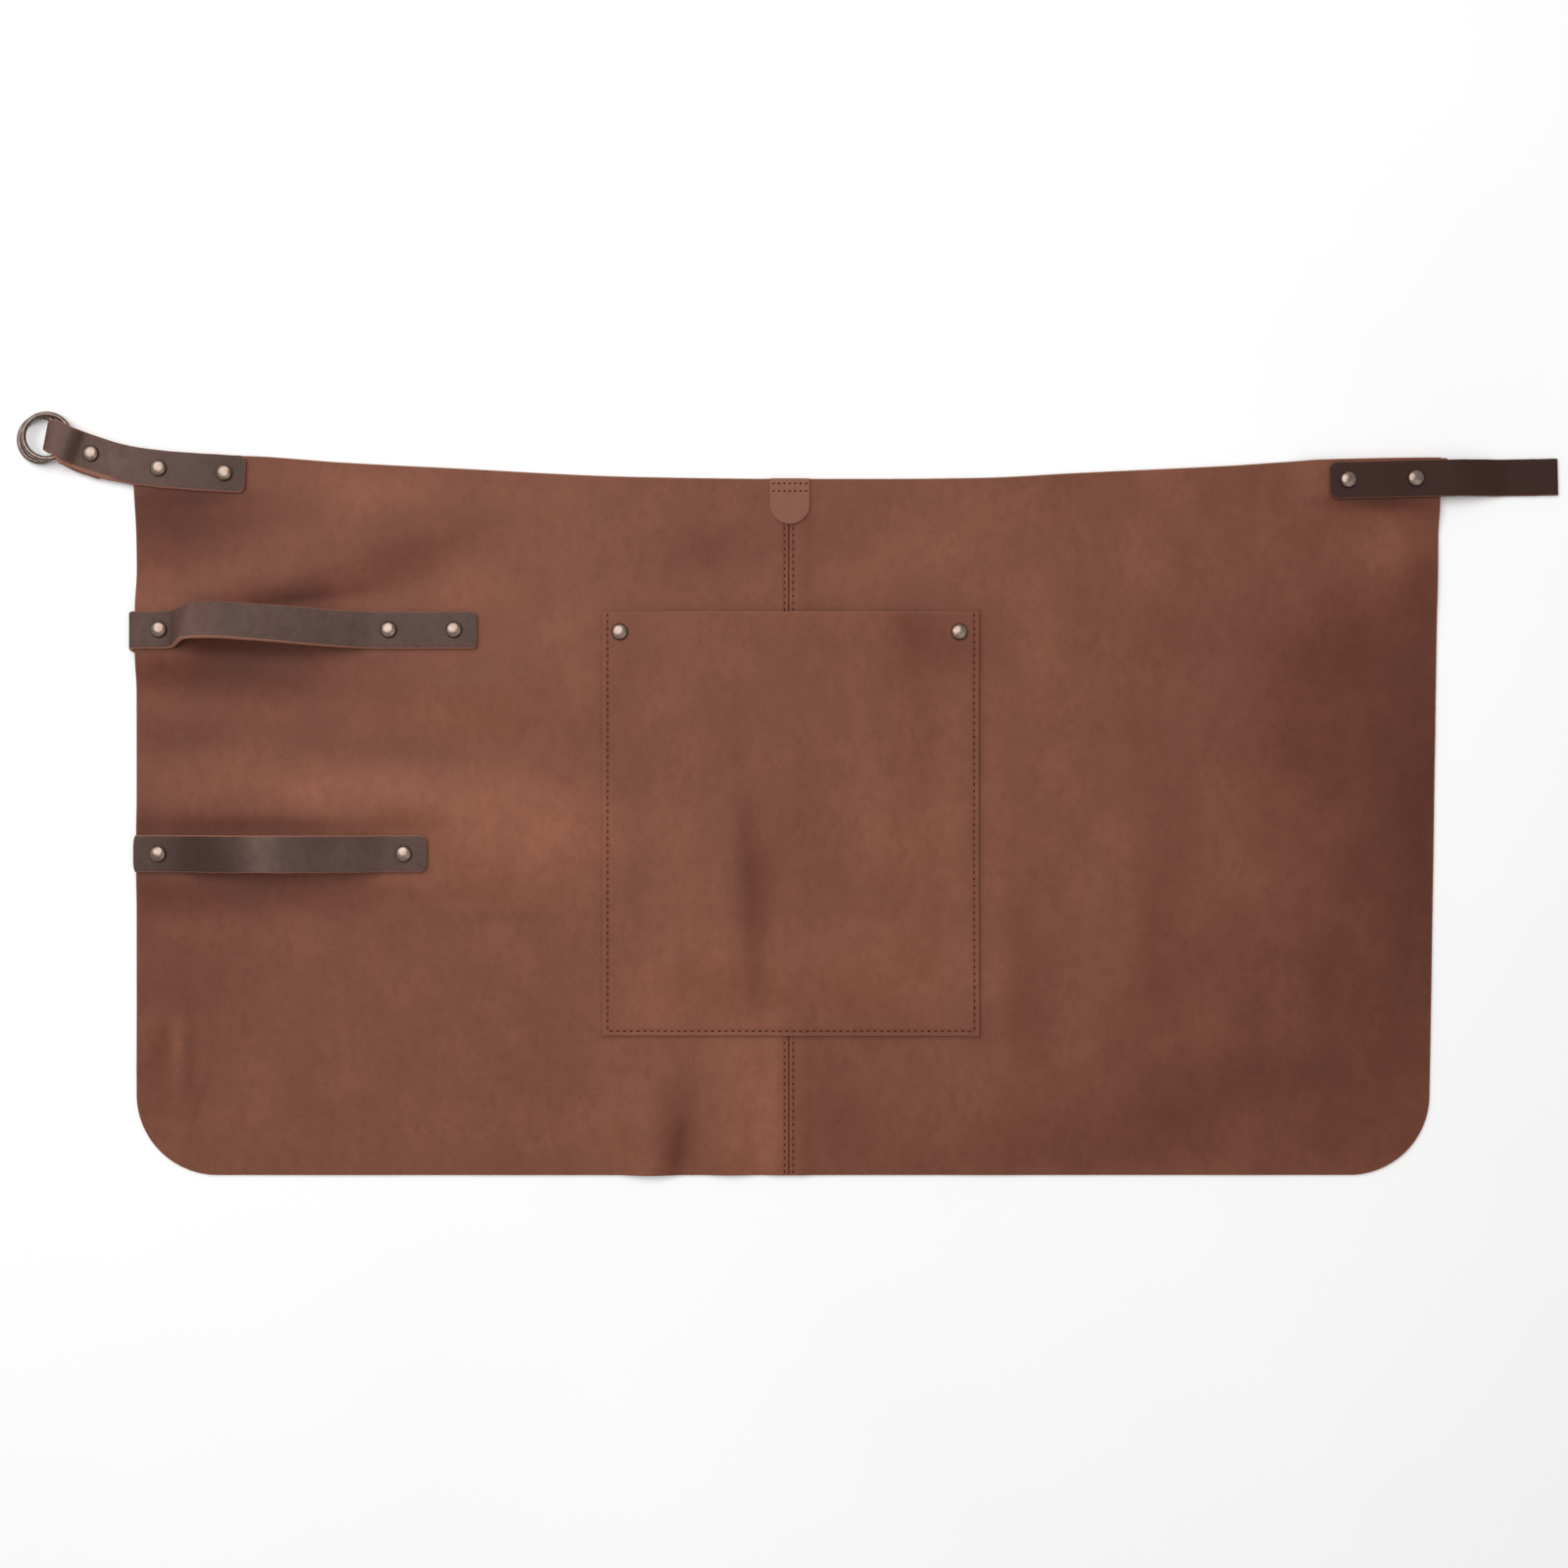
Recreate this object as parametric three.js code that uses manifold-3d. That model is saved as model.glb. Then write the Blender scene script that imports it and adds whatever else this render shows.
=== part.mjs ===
// A leather waist apron for the grill, lying face up with its straps and towel loops.
// Millimetres. X runs along the waist with 0 at the centre seam, Y runs from the hem up to the
// waist, and Z is the height above the surface that the apron lies on.

import * as THREE from "three";
import { mergeVertices } from "three/addons/utils/BufferGeometryUtils.js";
import Module from "manifold-3d";

const wasm = await Module();
wasm.setup();

// Leather
const SHEET = 1.6; // thickness of the body, the pocket and the tab
const STRAP = 2.4; // thickness of every strap
const STRAP_WIDTH = 21;
const STRAP_BEVEL = 0.6;
const GAP = 0.3; // left between two pieces that touch

// Outline of the body
const BODY_HEIGHT = 402; // hem to waist at the centre seam
const LEFT_WIDTH = 376.7; // seam to left edge
const RIGHT_WIDTH = 370; // seam to right edge, at the hem
const LEFT_FLARE = 2.7; // extra width at the top left corner
const LEFT_FLARE_HEIGHT = 64;
const RIGHT_FLARE = 5.5; // extra width at the top right corner, gained evenly from the hem
const HEM_CORNER = 46.5; // radius of the two bottom corners
const WAIST_RISE = 13.5; // how far the waist edge climbs from the seam to the top left corner

// The waist edge: across is a share of the half's width, rise a share of WAIST_RISE.
const WAIST_LINE = [
  { across: -1, rise: 1 },
  { across: -0.83, rise: 0.97 },
  { across: -0.68, rise: 0.7 },
  { across: -0.46, rise: 0.37 },
  { across: -0.23, rise: 0.08 },
  { across: 0, rise: 0 },
  { across: 0.15, rise: 0 },
  { across: 0.29, rise: 0.04 },
  { across: 0.44, rise: 0.25 },
  { across: 0.67, rise: 0.55 },
  { across: 0.82, rise: 0.8 },
  { across: 1, rise: 0.88 },
];

// Centre seam: both halves are turned under, which doubles the leather beside the seam.
const SEAM_ALLOWANCE = 9;
const SEAM_SKIVE = 6; // width over which the turned edge thins to nothing

// Tab over the top of the seam
const TAB_WIDTH = 23;
const TAB_LENGTH = 26.5;
const TAB_SHIFT = 0.5; // of its middle, to the right of the seam

// Patch pocket
const POCKET_LEFT = 107.2; // seam to the pocket's left edge
const POCKET_RIGHT = 109.5;
const POCKET_UP = 80.6; // hem to the pocket's bottom edge
const POCKET_HEIGHT = 244.3;
const POCKET_DEPTH = 5; // how far the front stands off the body
const POCKET_FLAT_SIDE = 18; // width held down along each side
const POCKET_FLAT_BOTTOM = 6;
const POCKET_SWELL = 40; // width over which the front rises from flat to POCKET_DEPTH
const POCKET_RIVET_LEFT = 9.7; // side edge to rivet
const POCKET_RIVET_RIGHT = 11.4;
const POCKET_RIVET_DOWN = 11.5; // mouth to rivet

// Rivets
const CAP_RADIUS = 4.75;
const CAP_DOME = 2.4;
const CAP_RIM = 0.7;
const BACK_CAP_RADIUS = 4.5;
const BACK_CAP = 1.2; // thickness
const POST_RADIUS = 2;
const HOLE_CLEARANCE = 0.3;
const RIVET_SIDES = 10;

// Towel loops, both fixed beside the left edge
const LOOP_TAIL = 13.2; // last rivet to the end of the strap
const UPPER_LOOP_UP = 314.6; // hem to the middle of the strap
const UPPER_LOOP_INSET = 14.8; // left edge to first rivet
const UPPER_LOOP_SPAN = 131.5; // first rivet to second
const UPPER_LOOP_PITCH = 37.5; // second rivet to third
const UPPER_LOOP_RISE = 18; // height of the bulge
const UPPER_LOOP_LEAN = 4.7; // how far its crest leans towards the waist
const UPPER_LOOP_TWIST = 17; // degrees that the crest turns with the lean
const UPPER_LOOP_CORNER = 3;
const WRAP_TUCK = 0.2; // how far the fold round the edge is centred inside the edge
const WRAP_SKEW = 2.2; // how far the turned-back end sits below the front of the strap
const RETURN_END = 12; // rivet to the end of a turned-back strap
const LOWER_LOOP_UP = 185.6;
const LOWER_LOOP_INSET = 13.6;
const LOWER_LOOP_SPAN = 141.3;
const LOWER_LOOP_RISE = 14;
const LOWER_LOOP_CORNER = 4.3;
const LOWER_LOOP_OVERHANG = 0.9; // past the left edge
const LOWER_LOOP_BOW = 1.4; // how far its left end is rounded out

// The bulges: along is a share of the span, rise and lean shares of the loop's own rise and lean.
const UPPER_LOOP_BULGE = [
  { along: 0, rise: 0, lean: 0 },
  { along: 0.05, rise: 0, lean: 0.1 },
  { along: 0.1, rise: 0.35, lean: 0.6 },
  { along: 0.14, rise: 0.72, lean: 0.95 },
  { along: 0.19, rise: 0.93, lean: 1 },
  { along: 0.26, rise: 1, lean: 1 },
  { along: 0.39, rise: 0.93, lean: 0.85 },
  { along: 0.59, rise: 0.62, lean: 0.5 },
  { along: 0.8, rise: 0.26, lean: 0.12 },
  { along: 0.95, rise: 0, lean: 0 },
  { along: 1, rise: 0, lean: 0 },
];
const LOWER_LOOP_BULGE = [
  { along: 0, rise: 0, lean: 0 },
  { along: 0.06, rise: 0.03, lean: 0 },
  { along: 0.2, rise: 0.38, lean: 0 },
  { along: 0.35, rise: 0.8, lean: 0 },
  { along: 0.5, rise: 1, lean: 0 },
  { along: 0.65, rise: 0.86, lean: 0 },
  { along: 0.8, rise: 0.45, lean: 0 },
  { along: 0.94, rise: 0.02, lean: 0 },
  { along: 1, rise: 0, lean: 0 },
];

// Ring strap, from its front end on the body to the fold that holds the rings
const RING_STRAP_INSET = 66.2; // top left corner to the strap's front end
const RING_STRAP_BELOW = 11.2; // top left corner down to the middle of the front end
const RING_STRAP_LENGTH = 117; // front end to the outside of the fold
const RING_STRAP_CORNER = 3.5;
const RING_STRAP_RIVETS = [89.5, 49.8, 11.8]; // distance of each from the front end
const RING_FOLD_DEPTH = 3.8;
const RING_FOLD_SQUARENESS = 2.6; // 2 would be a round fold
const RING_FOLD_PINCH = 1.5; // taken off each side of the strap where it passes the rings
const RING_BUMP_TOP = 11.5;
const RING_BUMP_LENGTH = 8; // of the level top before the fold
const RING_BUMP_SLOPE = 8;

// The strap's direction in plan: along is a share of its length, heading is degrees up from level.
const RING_STRAP_BEND = [
  { along: 0, heading: 3 },
  { along: 0.23, heading: 3.5 },
  { along: 0.44, heading: 6 },
  { along: 0.6, heading: 12 },
  { along: 0.75, heading: 19 },
  { along: 0.85, heading: 20 },
  { along: 0.94, heading: 14 },
  { along: 1, heading: 11 },
];

// Rings
const RING_WIRE = 3;
const RING_OUTSIDE = 29;
const RING_REACH = 3.6; // outside of the fold to the middle of the lower ring
const RING_APART_ALONG = 4.2; // lower ring to upper ring, back along the strap
const RING_APART_ACROSS = 2; // and across it, towards the waist
const RING_SPACE = 0.7; // upper ring above the lower one, beyond the wire
const LOWER_RING_TILT = 6.8; // degrees, its right side lifted by the strap
const UPPER_RING_TILT = 8.7;
const UPPER_RING_BEARING = 213; // degrees round from +X to its highest side

// Waist strap and the piece behind the corner
const WAIST_STRAP_INSET = 64.9; // top right corner to its left end
const WAIST_STRAP_LENGTH = 133.3;
const WAIST_STRAP_BELOW = 13.58; // top right corner down to the middle of its left end
const WAIST_STRAP_ANGLE = 1.25; // degrees
const WAIST_STRAP_CORNER = 4.5;
const WAIST_STRAP_RIVETS = [10.6, 49.3];
const WAIST_STRAP_CLEAR = 6.5; // level stretch past the corner, over the end of the backing
const WAIST_STRAP_FALL = 35; // distance in which it comes down to the floor
const BACKING_INSET = 59.2; // top right corner to its left end
const BACKING_LENGTH = 64.4;
const BACKING_LIFT = 1.6; // its middle above the strap's
const BACKING_CORNER = 2;

// Soft folds of the body: across and up are shares of the half's width and of BODY_HEIGHT,
// long, wide shares of BODY_HEIGHT, high a share of FOLD_HEIGHT, heading in degrees.
const FOLD_HEIGHT = 5;
const FOLDS = [
  { across: -0.624, up: 0.914, heading: 23, long: 0.465, wide: 0.183, high: 1 },
  { across: -0.489, up: 0.717, heading: -5, long: 0.423, wide: 0.197, high: 0.9 },
  { across: -0.549, up: 0.491, heading: -8, long: 0.592, wide: 0.211, high: 1 },
  { across: -0.215, up: 0.033, heading: 95, long: 0.254, wide: 0.1, high: 0.8 },
  { across: -0.09, up: 0.068, heading: 90, long: 0.282, wide: 0.085, high: 0.6 },
  { across: 0.317, up: 0.195, heading: 90, long: 0.507, wide: 0.155, high: 0.7 },
  { across: 0.528, up: 0.336, heading: 80, long: 0.352, wide: 0.169, high: 0.6 },
  { across: 0.743, up: 0.703, heading: 75, long: 0.564, wide: 0.282, high: 1 },
  { across: 0.911, up: 0.858, heading: 10, long: 0.282, wide: 0.169, high: 0.8 },
];

// Fold down the pocket's front: across is a share of POCKET_LEFT, up, long and wide of POCKET_HEIGHT.
const POCKET_FOLD_HEIGHT = 3;
const POCKET_FOLDS = [{ across: -0.25, up: 0.35, heading: 96, long: 0.6, wide: 0.16, high: 1 }];

// Mesh fineness
const GRID_STEP = 23;
const SEAT_FALL = 22; // distance in which the leather comes down from a raised seat
const STRAP_STEP = 8;
const ARC_STEPS = 7;
const TALL = 60; // cutters reach this far up and down

const rad = THREE.MathUtils.degToRad;
const CLEAR_OF_BACK_CAP = BACK_CAP + GAP;
const CLEAR_OF_RETURN = CLEAR_OF_BACK_CAP + STRAP + GAP;
const RETURN_MIDDLE = CLEAR_OF_BACK_CAP + STRAP / 2;
const middleOn = (lift) => lift + SHEET + GAP + STRAP / 2;
const leftTop = LEFT_WIDTH + LEFT_FLARE;
const rightTop = RIGHT_WIDTH + RIGHT_FLARE;
const pocketTop = POCKET_UP + POCKET_HEIGHT;
const ringStrapStart = -leftTop + RING_STRAP_INSET;
const waistStrapStart = rightTop - WAIST_STRAP_INSET;

function smooth(share) {
  const t = THREE.MathUtils.clamp(share, 0, 1);
  return t * t * (3 - 2 * t);
}

// A smooth curve through the rows of a table that never overshoots them.
function curveThrough(rows, xName, yName) {
  const secants = rows.slice(1).map((row, i) => (row[yName] - rows[i][yName]) / (row[xName] - rows[i][xName]));
  const slopes = rows.map((row, i) => {
    const before = secants[i - 1];
    const after = secants[i];
    if (before === undefined || after === undefined || before * after <= 0) return 0;
    return (2 * before * after) / (before + after);
  });
  return (x) => {
    const last = rows.length - 2;
    const found = rows.findIndex((row, i) => i <= last && x <= rows[i + 1][xName]);
    const i = found < 0 ? last : found;
    const length = rows[i + 1][xName] - rows[i][xName];
    const t = THREE.MathUtils.clamp((x - rows[i][xName]) / length, 0, 1);
    const rise = smooth(t);
    const bend = t * (1 - t) * length;
    const through = rows[i][yName] * (1 - rise) + rows[i + 1][yName] * rise;
    return through + bend * ((1 - t) * slopes[i] - t * slopes[i + 1]);
  };
}

const waistRise = curveThrough(WAIST_LINE, "across", "rise");
const waistHeight = (across) => BODY_HEIGHT + WAIST_RISE * waistRise(across);

// Positions in plan of all rivets

const leftEdge = -LEFT_WIDTH;
const upperLoopRivets = [0, UPPER_LOOP_SPAN, UPPER_LOOP_SPAN + UPPER_LOOP_PITCH].map((along) => ({
  x: leftEdge + UPPER_LOOP_INSET + along,
  y: UPPER_LOOP_UP,
}));
const lowerLoopRivets = [0, LOWER_LOOP_SPAN].map((along) => ({
  x: leftEdge + LOWER_LOOP_INSET + along,
  y: LOWER_LOOP_UP,
}));
const pocketRivets = [-POCKET_LEFT + POCKET_RIVET_LEFT, POCKET_RIGHT - POCKET_RIVET_RIGHT].map((x) => ({
  x,
  y: pocketTop - POCKET_RIVET_DOWN,
}));

// A strap's line in plan gives, for each distance, the point and the direction across the strap.
function straightPlan(x, y, degrees) {
  const angle = rad(degrees);
  return (along) => ({
    x: x + along * Math.cos(angle),
    y: y + along * Math.sin(angle),
    acrossX: -Math.sin(angle),
    acrossY: Math.cos(angle),
  });
}

function bentPlan(x, y, length, bend) {
  const heading = curveThrough(bend, "along", "heading");
  const step = 1;
  const points = [{ x, y }];
  for (let along = 0; along < length; along += step) {
    const { x: lastX, y: lastY } = points.at(-1);
    const angle = rad(heading((along + step / 2) / length));
    points.push({ x: lastX - step * Math.cos(angle), y: lastY + step * Math.sin(angle) });
  }
  return (along) => {
    const i = THREE.MathUtils.clamp(Math.floor(along / step), 0, points.length - 2);
    const rest = along / step - i;
    const angle = rad(heading(along / length));
    return {
      x: points[i].x + rest * (points[i + 1].x - points[i].x),
      y: points[i].y + rest * (points[i + 1].y - points[i].y),
      acrossX: -Math.sin(angle),
      acrossY: -Math.cos(angle),
    };
  };
}

const upperLoopPlan = straightPlan(leftEdge, UPPER_LOOP_UP, 0);
const lowerLoopPlan = straightPlan(leftEdge, LOWER_LOOP_UP, 0);
const ringStrapPlan = bentPlan(
  ringStrapStart,
  waistHeight(-1) - RING_STRAP_BELOW,
  RING_STRAP_LENGTH,
  RING_STRAP_BEND,
);
const waistStrapUp = waistHeight(1) - WAIST_STRAP_BELOW;
const waistStrapPlan = straightPlan(waistStrapStart, waistStrapUp, WAIST_STRAP_ANGLE);
const backingPlan = straightPlan(rightTop - BACKING_INSET, waistStrapUp + BACKING_LIFT, WAIST_STRAP_ANGLE);

const ringStrapRivets = RING_STRAP_RIVETS.map((along) => ringStrapPlan(along));
const waistStrapRivets = WAIST_STRAP_RIVETS.map((along) => waistStrapPlan(along));

// The lie of the body

// Seats where the body lies level over a rivet's back cap, or over a cap and a turned-back strap
const seatHalf = STRAP_WIDTH / 2 + 1;
const seats = [
  {
    left: -leftTop - GRID_STEP,
    right: ringStrapStart + 2,
    low: ringStrapPlan(0).y - seatHalf,
    high: waistHeight(-1) + GRID_STEP,
    lift: CLEAR_OF_BACK_CAP,
  },
  {
    left: -leftTop - GRID_STEP,
    right: upperLoopRivets[0].x + RETURN_END + 1,
    low: UPPER_LOOP_UP - seatHalf - WRAP_SKEW,
    high: UPPER_LOOP_UP + seatHalf,
    lift: CLEAR_OF_RETURN,
  },
  {
    left: upperLoopRivets[1].x - CAP_RADIUS - 3,
    right: upperLoopRivets[2].x + LOOP_TAIL + 1,
    low: UPPER_LOOP_UP - seatHalf,
    high: UPPER_LOOP_UP + seatHalf,
    lift: CLEAR_OF_BACK_CAP,
  },
  {
    left: -leftTop - GRID_STEP,
    right: lowerLoopRivets[0].x + CAP_RADIUS + 3,
    low: LOWER_LOOP_UP - seatHalf,
    high: LOWER_LOOP_UP + seatHalf,
    lift: CLEAR_OF_BACK_CAP,
  },
  {
    left: lowerLoopRivets[1].x - CAP_RADIUS - 3,
    right: lowerLoopRivets[1].x + LOOP_TAIL + 1,
    low: LOWER_LOOP_UP - seatHalf,
    high: LOWER_LOOP_UP + seatHalf,
    lift: CLEAR_OF_BACK_CAP,
  },
  ...pocketRivets.map(({ x, y }) => ({
    left: x - CAP_RADIUS - 3,
    right: x + CAP_RADIUS + 3,
    low: y - CAP_RADIUS - 3,
    high: pocketTop,
    lift: CLEAR_OF_BACK_CAP,
  })),
  {
    left: waistStrapStart - 2,
    right: rightTop + GRID_STEP,
    low: waistStrapUp - seatHalf,
    high: waistHeight(1) + GRID_STEP,
    lift: CLEAR_OF_RETURN,
  },
];

// One on the seat, falling to nothing at SEAT_FALL from it
function nearSeat({ left, right, low, high }, x, y) {
  const outX = Math.max(left - x, x - right, 0);
  const outY = Math.max(low - y, y - high, 0);
  return 1 - smooth(Math.hypot(outX, outY) / SEAT_FALL);
}

function foldHeight({ heading, long, wide, high }, unit, height, dx, dy) {
  const angle = rad(heading);
  const along = (dx * Math.cos(angle) + dy * Math.sin(angle)) / ((long * unit) / 2);
  const beside = (dy * Math.cos(angle) - dx * Math.sin(angle)) / ((wide * unit) / 2);
  const hump = (share) => (Math.abs(share) < 1 ? (1 - share * share) ** 2 : 0);
  return high * height * hump(along) * hump(beside);
}

// Height of the body's underside
function lie(x, y) {
  let raised = 0;
  let free = 1;
  for (const seat of seats) {
    const near = nearSeat(seat, x, y);
    raised = Math.max(raised, seat.lift * near);
    free *= 1 - near;
  }
  for (const fold of FOLDS) {
    const foldX = fold.across * (fold.across < 0 ? LEFT_WIDTH : RIGHT_WIDTH);
    raised += free * foldHeight(fold, BODY_HEIGHT, FOLD_HEIGHT, x - foldX, y - fold.up * BODY_HEIGHT);
  }
  return raised;
}

function bodyTop(x, y) {
  const turned = THREE.MathUtils.clamp((SEAM_ALLOWANCE + SEAM_SKIVE - Math.abs(x)) / SEAM_SKIVE, 0, 1);
  return lie(x, y) + SHEET * (1 + turned);
}

// Height of the underside of the pocket's front
function pocketUnder(x, y) {
  const fromSide = Math.min(x + POCKET_LEFT, POCKET_RIGHT - x);
  const swellX = smooth((fromSide - POCKET_FLAT_SIDE) / POCKET_SWELL);
  const swellY = smooth((y - POCKET_UP - POCKET_FLAT_BOTTOM) / POCKET_SWELL);
  let free = POCKET_DEPTH;
  for (const fold of POCKET_FOLDS) {
    const dx = x - fold.across * POCKET_LEFT;
    const dy = y - POCKET_UP - fold.up * POCKET_HEIGHT;
    free += foldHeight(fold, POCKET_HEIGHT, POCKET_FOLD_HEIGHT, dx, dy);
  }
  return Math.max(bodyTop(x, y), lie(x, y) + SHEET + free * swellX * swellY) + GAP;
}

// Solids

function solidOf(geometry) {
  const bare = new THREE.BufferGeometry();
  bare.setAttribute("position", geometry.getAttribute("position"));
  if (geometry.index) bare.setIndex(geometry.index);
  const merged = mergeVertices(bare, 1e-4);
  const vertProperties = Float32Array.from(merged.getAttribute("position").array);
  const triVerts = Uint32Array.from(merged.index.array);
  return new wasm.Manifold(new wasm.Mesh({ numProp: 3, vertProperties, triVerts }));
}

function geometryOf(solid) {
  const { vertProperties, triVerts } = solid.getMesh();
  const geometry = new THREE.BufferGeometry();
  geometry.setAttribute("position", new THREE.BufferAttribute(vertProperties, 3));
  geometry.setIndex(new THREE.BufferAttribute(triVerts, 1));
  geometry.computeVertexNormals();
  return geometry;
}

function meshGeometry(positions, faces) {
  const geometry = new THREE.BufferGeometry();
  geometry.setAttribute("position", new THREE.Float32BufferAttribute(positions, 3));
  geometry.setIndex(faces);
  return geometry;
}

// Lines from low to high through every key, never more than step apart
function gridLines(low, high, keys, step) {
  const inside = keys.filter((key) => key > low && key < high);
  const stops = [...new Set([...inside, high])].sort((a, b) => a - b);
  const lines = [low];
  for (const stop of stops) {
    const from = lines.at(-1);
    const cells = Math.ceil((stop - from) / step);
    for (let i = 1; i < cells; i++) lines.push(from + ((stop - from) * i) / cells);
    lines.push(stop);
  }
  return lines;
}

const seamLines = [0, SEAM_ALLOWANCE, SEAM_ALLOWANCE + SEAM_SKIVE].flatMap((x) => [-x, x]);
const gridX = gridLines(
  -leftTop - GRID_STEP,
  rightTop + GRID_STEP,
  [...seamLines, -POCKET_LEFT, POCKET_RIGHT, ...seats.flatMap(({ left, right }) => [left, right])],
  GRID_STEP,
);
const gridY = gridLines(
  -GRID_STEP,
  BODY_HEIGHT + WAIST_RISE + GRID_STEP,
  [POCKET_UP, pocketTop, ...seats.flatMap(({ low, high }) => [low, high])],
  GRID_STEP,
);
const between = (lines, low, high) => lines.filter((line) => line >= low && line <= high);

// A sheet of leather between two height functions over a grid
function sheetSolid(xs, ys, under, over) {
  const positions = [];
  for (const level of [under, over]) {
    for (const y of ys) {
      for (const x of xs) positions.push(x, y, level(x, y));
    }
  }
  const at = (layer, row, column) => (layer * ys.length + row) * xs.length + column;
  const faces = [];
  const quad = (a, b, c, d) => faces.push(a, b, c, a, c, d);
  const lastRow = ys.length - 1;
  const lastColumn = xs.length - 1;
  for (let r = 0; r < lastRow; r++) {
    for (let c = 0; c < lastColumn; c++) {
      quad(at(1, r, c), at(1, r, c + 1), at(1, r + 1, c + 1), at(1, r + 1, c));
      quad(at(0, r, c), at(0, r + 1, c), at(0, r + 1, c + 1), at(0, r, c + 1));
    }
    quad(at(0, r + 1, 0), at(0, r, 0), at(1, r, 0), at(1, r + 1, 0));
    quad(at(0, r, lastColumn), at(0, r + 1, lastColumn), at(1, r + 1, lastColumn), at(1, r, lastColumn));
  }
  for (let c = 0; c < lastColumn; c++) {
    quad(at(0, 0, c), at(0, 0, c + 1), at(1, 0, c + 1), at(1, 0, c));
    quad(at(0, lastRow, c + 1), at(0, lastRow, c), at(1, lastRow, c), at(1, lastRow, c + 1));
  }
  return solidOf(meshGeometry(positions, faces));
}

function cutOut(sheet, outline) {
  const prism = new THREE.ExtrudeGeometry(outline, { depth: 2 * TALL, bevelEnabled: false, curveSegments: 8 });
  prism.translate(0, 0, -TALL);
  return sheet.intersect(solidOf(prism));
}

function punch(solid, rivets) {
  let punched = solid;
  for (const { x, y } of rivets) {
    const radius = POST_RADIUS + HOLE_CLEARANCE;
    const hole = new THREE.CylinderGeometry(radius, radius, 2 * TALL, RIVET_SIDES);
    hole.rotateX(Math.PI / 2);
    hole.translate(x, y, 0);
    punched = punched.subtract(solidOf(hole));
  }
  return punched;
}

// Body

function waistPoints(low, high) {
  const shares = gridLines(low, high, [], 1 / 14);
  return shares.map((share) => new THREE.Vector2(share * (share < 0 ? leftTop : rightTop), waistHeight(share)));
}

function leftOutline() {
  const shape = new THREE.Shape();
  shape.moveTo(-GAP / 2, 0);
  shape.lineTo(-LEFT_WIDTH + HEM_CORNER, 0);
  shape.absarc(-LEFT_WIDTH + HEM_CORNER, HEM_CORNER, HEM_CORNER, rad(-90), rad(-180), true);
  shape.lineTo(-LEFT_WIDTH, BODY_HEIGHT - LEFT_FLARE_HEIGHT);
  shape.quadraticCurveTo(-LEFT_WIDTH, BODY_HEIGHT - LEFT_FLARE_HEIGHT / 2, -leftTop, waistHeight(-1));
  for (const point of waistPoints(-1, 0).slice(1, -1)) shape.lineTo(point.x, point.y);
  shape.lineTo(-GAP / 2, BODY_HEIGHT);
  return shape;
}

function rightOutline() {
  const shape = new THREE.Shape();
  shape.moveTo(GAP / 2, 0);
  shape.lineTo(RIGHT_WIDTH - HEM_CORNER, 0);
  shape.absarc(RIGHT_WIDTH - HEM_CORNER, HEM_CORNER, HEM_CORNER, rad(-90), 0, false);
  for (const point of waistPoints(0, 1).slice(1).reverse()) shape.lineTo(point.x, point.y);
  shape.lineTo(GAP / 2, BODY_HEIGHT);
  return shape;
}

function bodyHalf(outline, low, high, rivets) {
  const sheet = sheetSolid(between(gridX, low, high), gridY, lie, bodyTop);
  return punch(cutOut(sheet, outline), rivets);
}

function pocketFront() {
  const xs = between(gridX, -POCKET_LEFT, POCKET_RIGHT);
  const ys = between(gridY, POCKET_UP, pocketTop);
  const sheet = sheetSolid(xs, ys, pocketUnder, (x, y) => pocketUnder(x, y) + SHEET);
  return punch(sheet, pocketRivets);
}

function waistTab() {
  const half = TAB_WIDTH / 2;
  const left = TAB_SHIFT - half;
  const right = TAB_SHIFT + half;
  const low = BODY_HEIGHT - TAB_LENGTH;
  const outline = new THREE.Shape();
  outline.moveTo(right, BODY_HEIGHT);
  outline.lineTo(left, BODY_HEIGHT);
  outline.lineTo(left, low + half);
  outline.absarc(TAB_SHIFT, low + half, half, rad(180), rad(360), false);
  const under = (x, y) => bodyTop(x, y) + GAP;
  const xs = gridLines(left, right, seamLines, GRID_STEP);
  const ys = [low, low + half, BODY_HEIGHT];
  return cutOut(sheetSolid(xs, ys, under, (x, y) => under(x, y) + SHEET), outline);
}

// Straps

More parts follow.
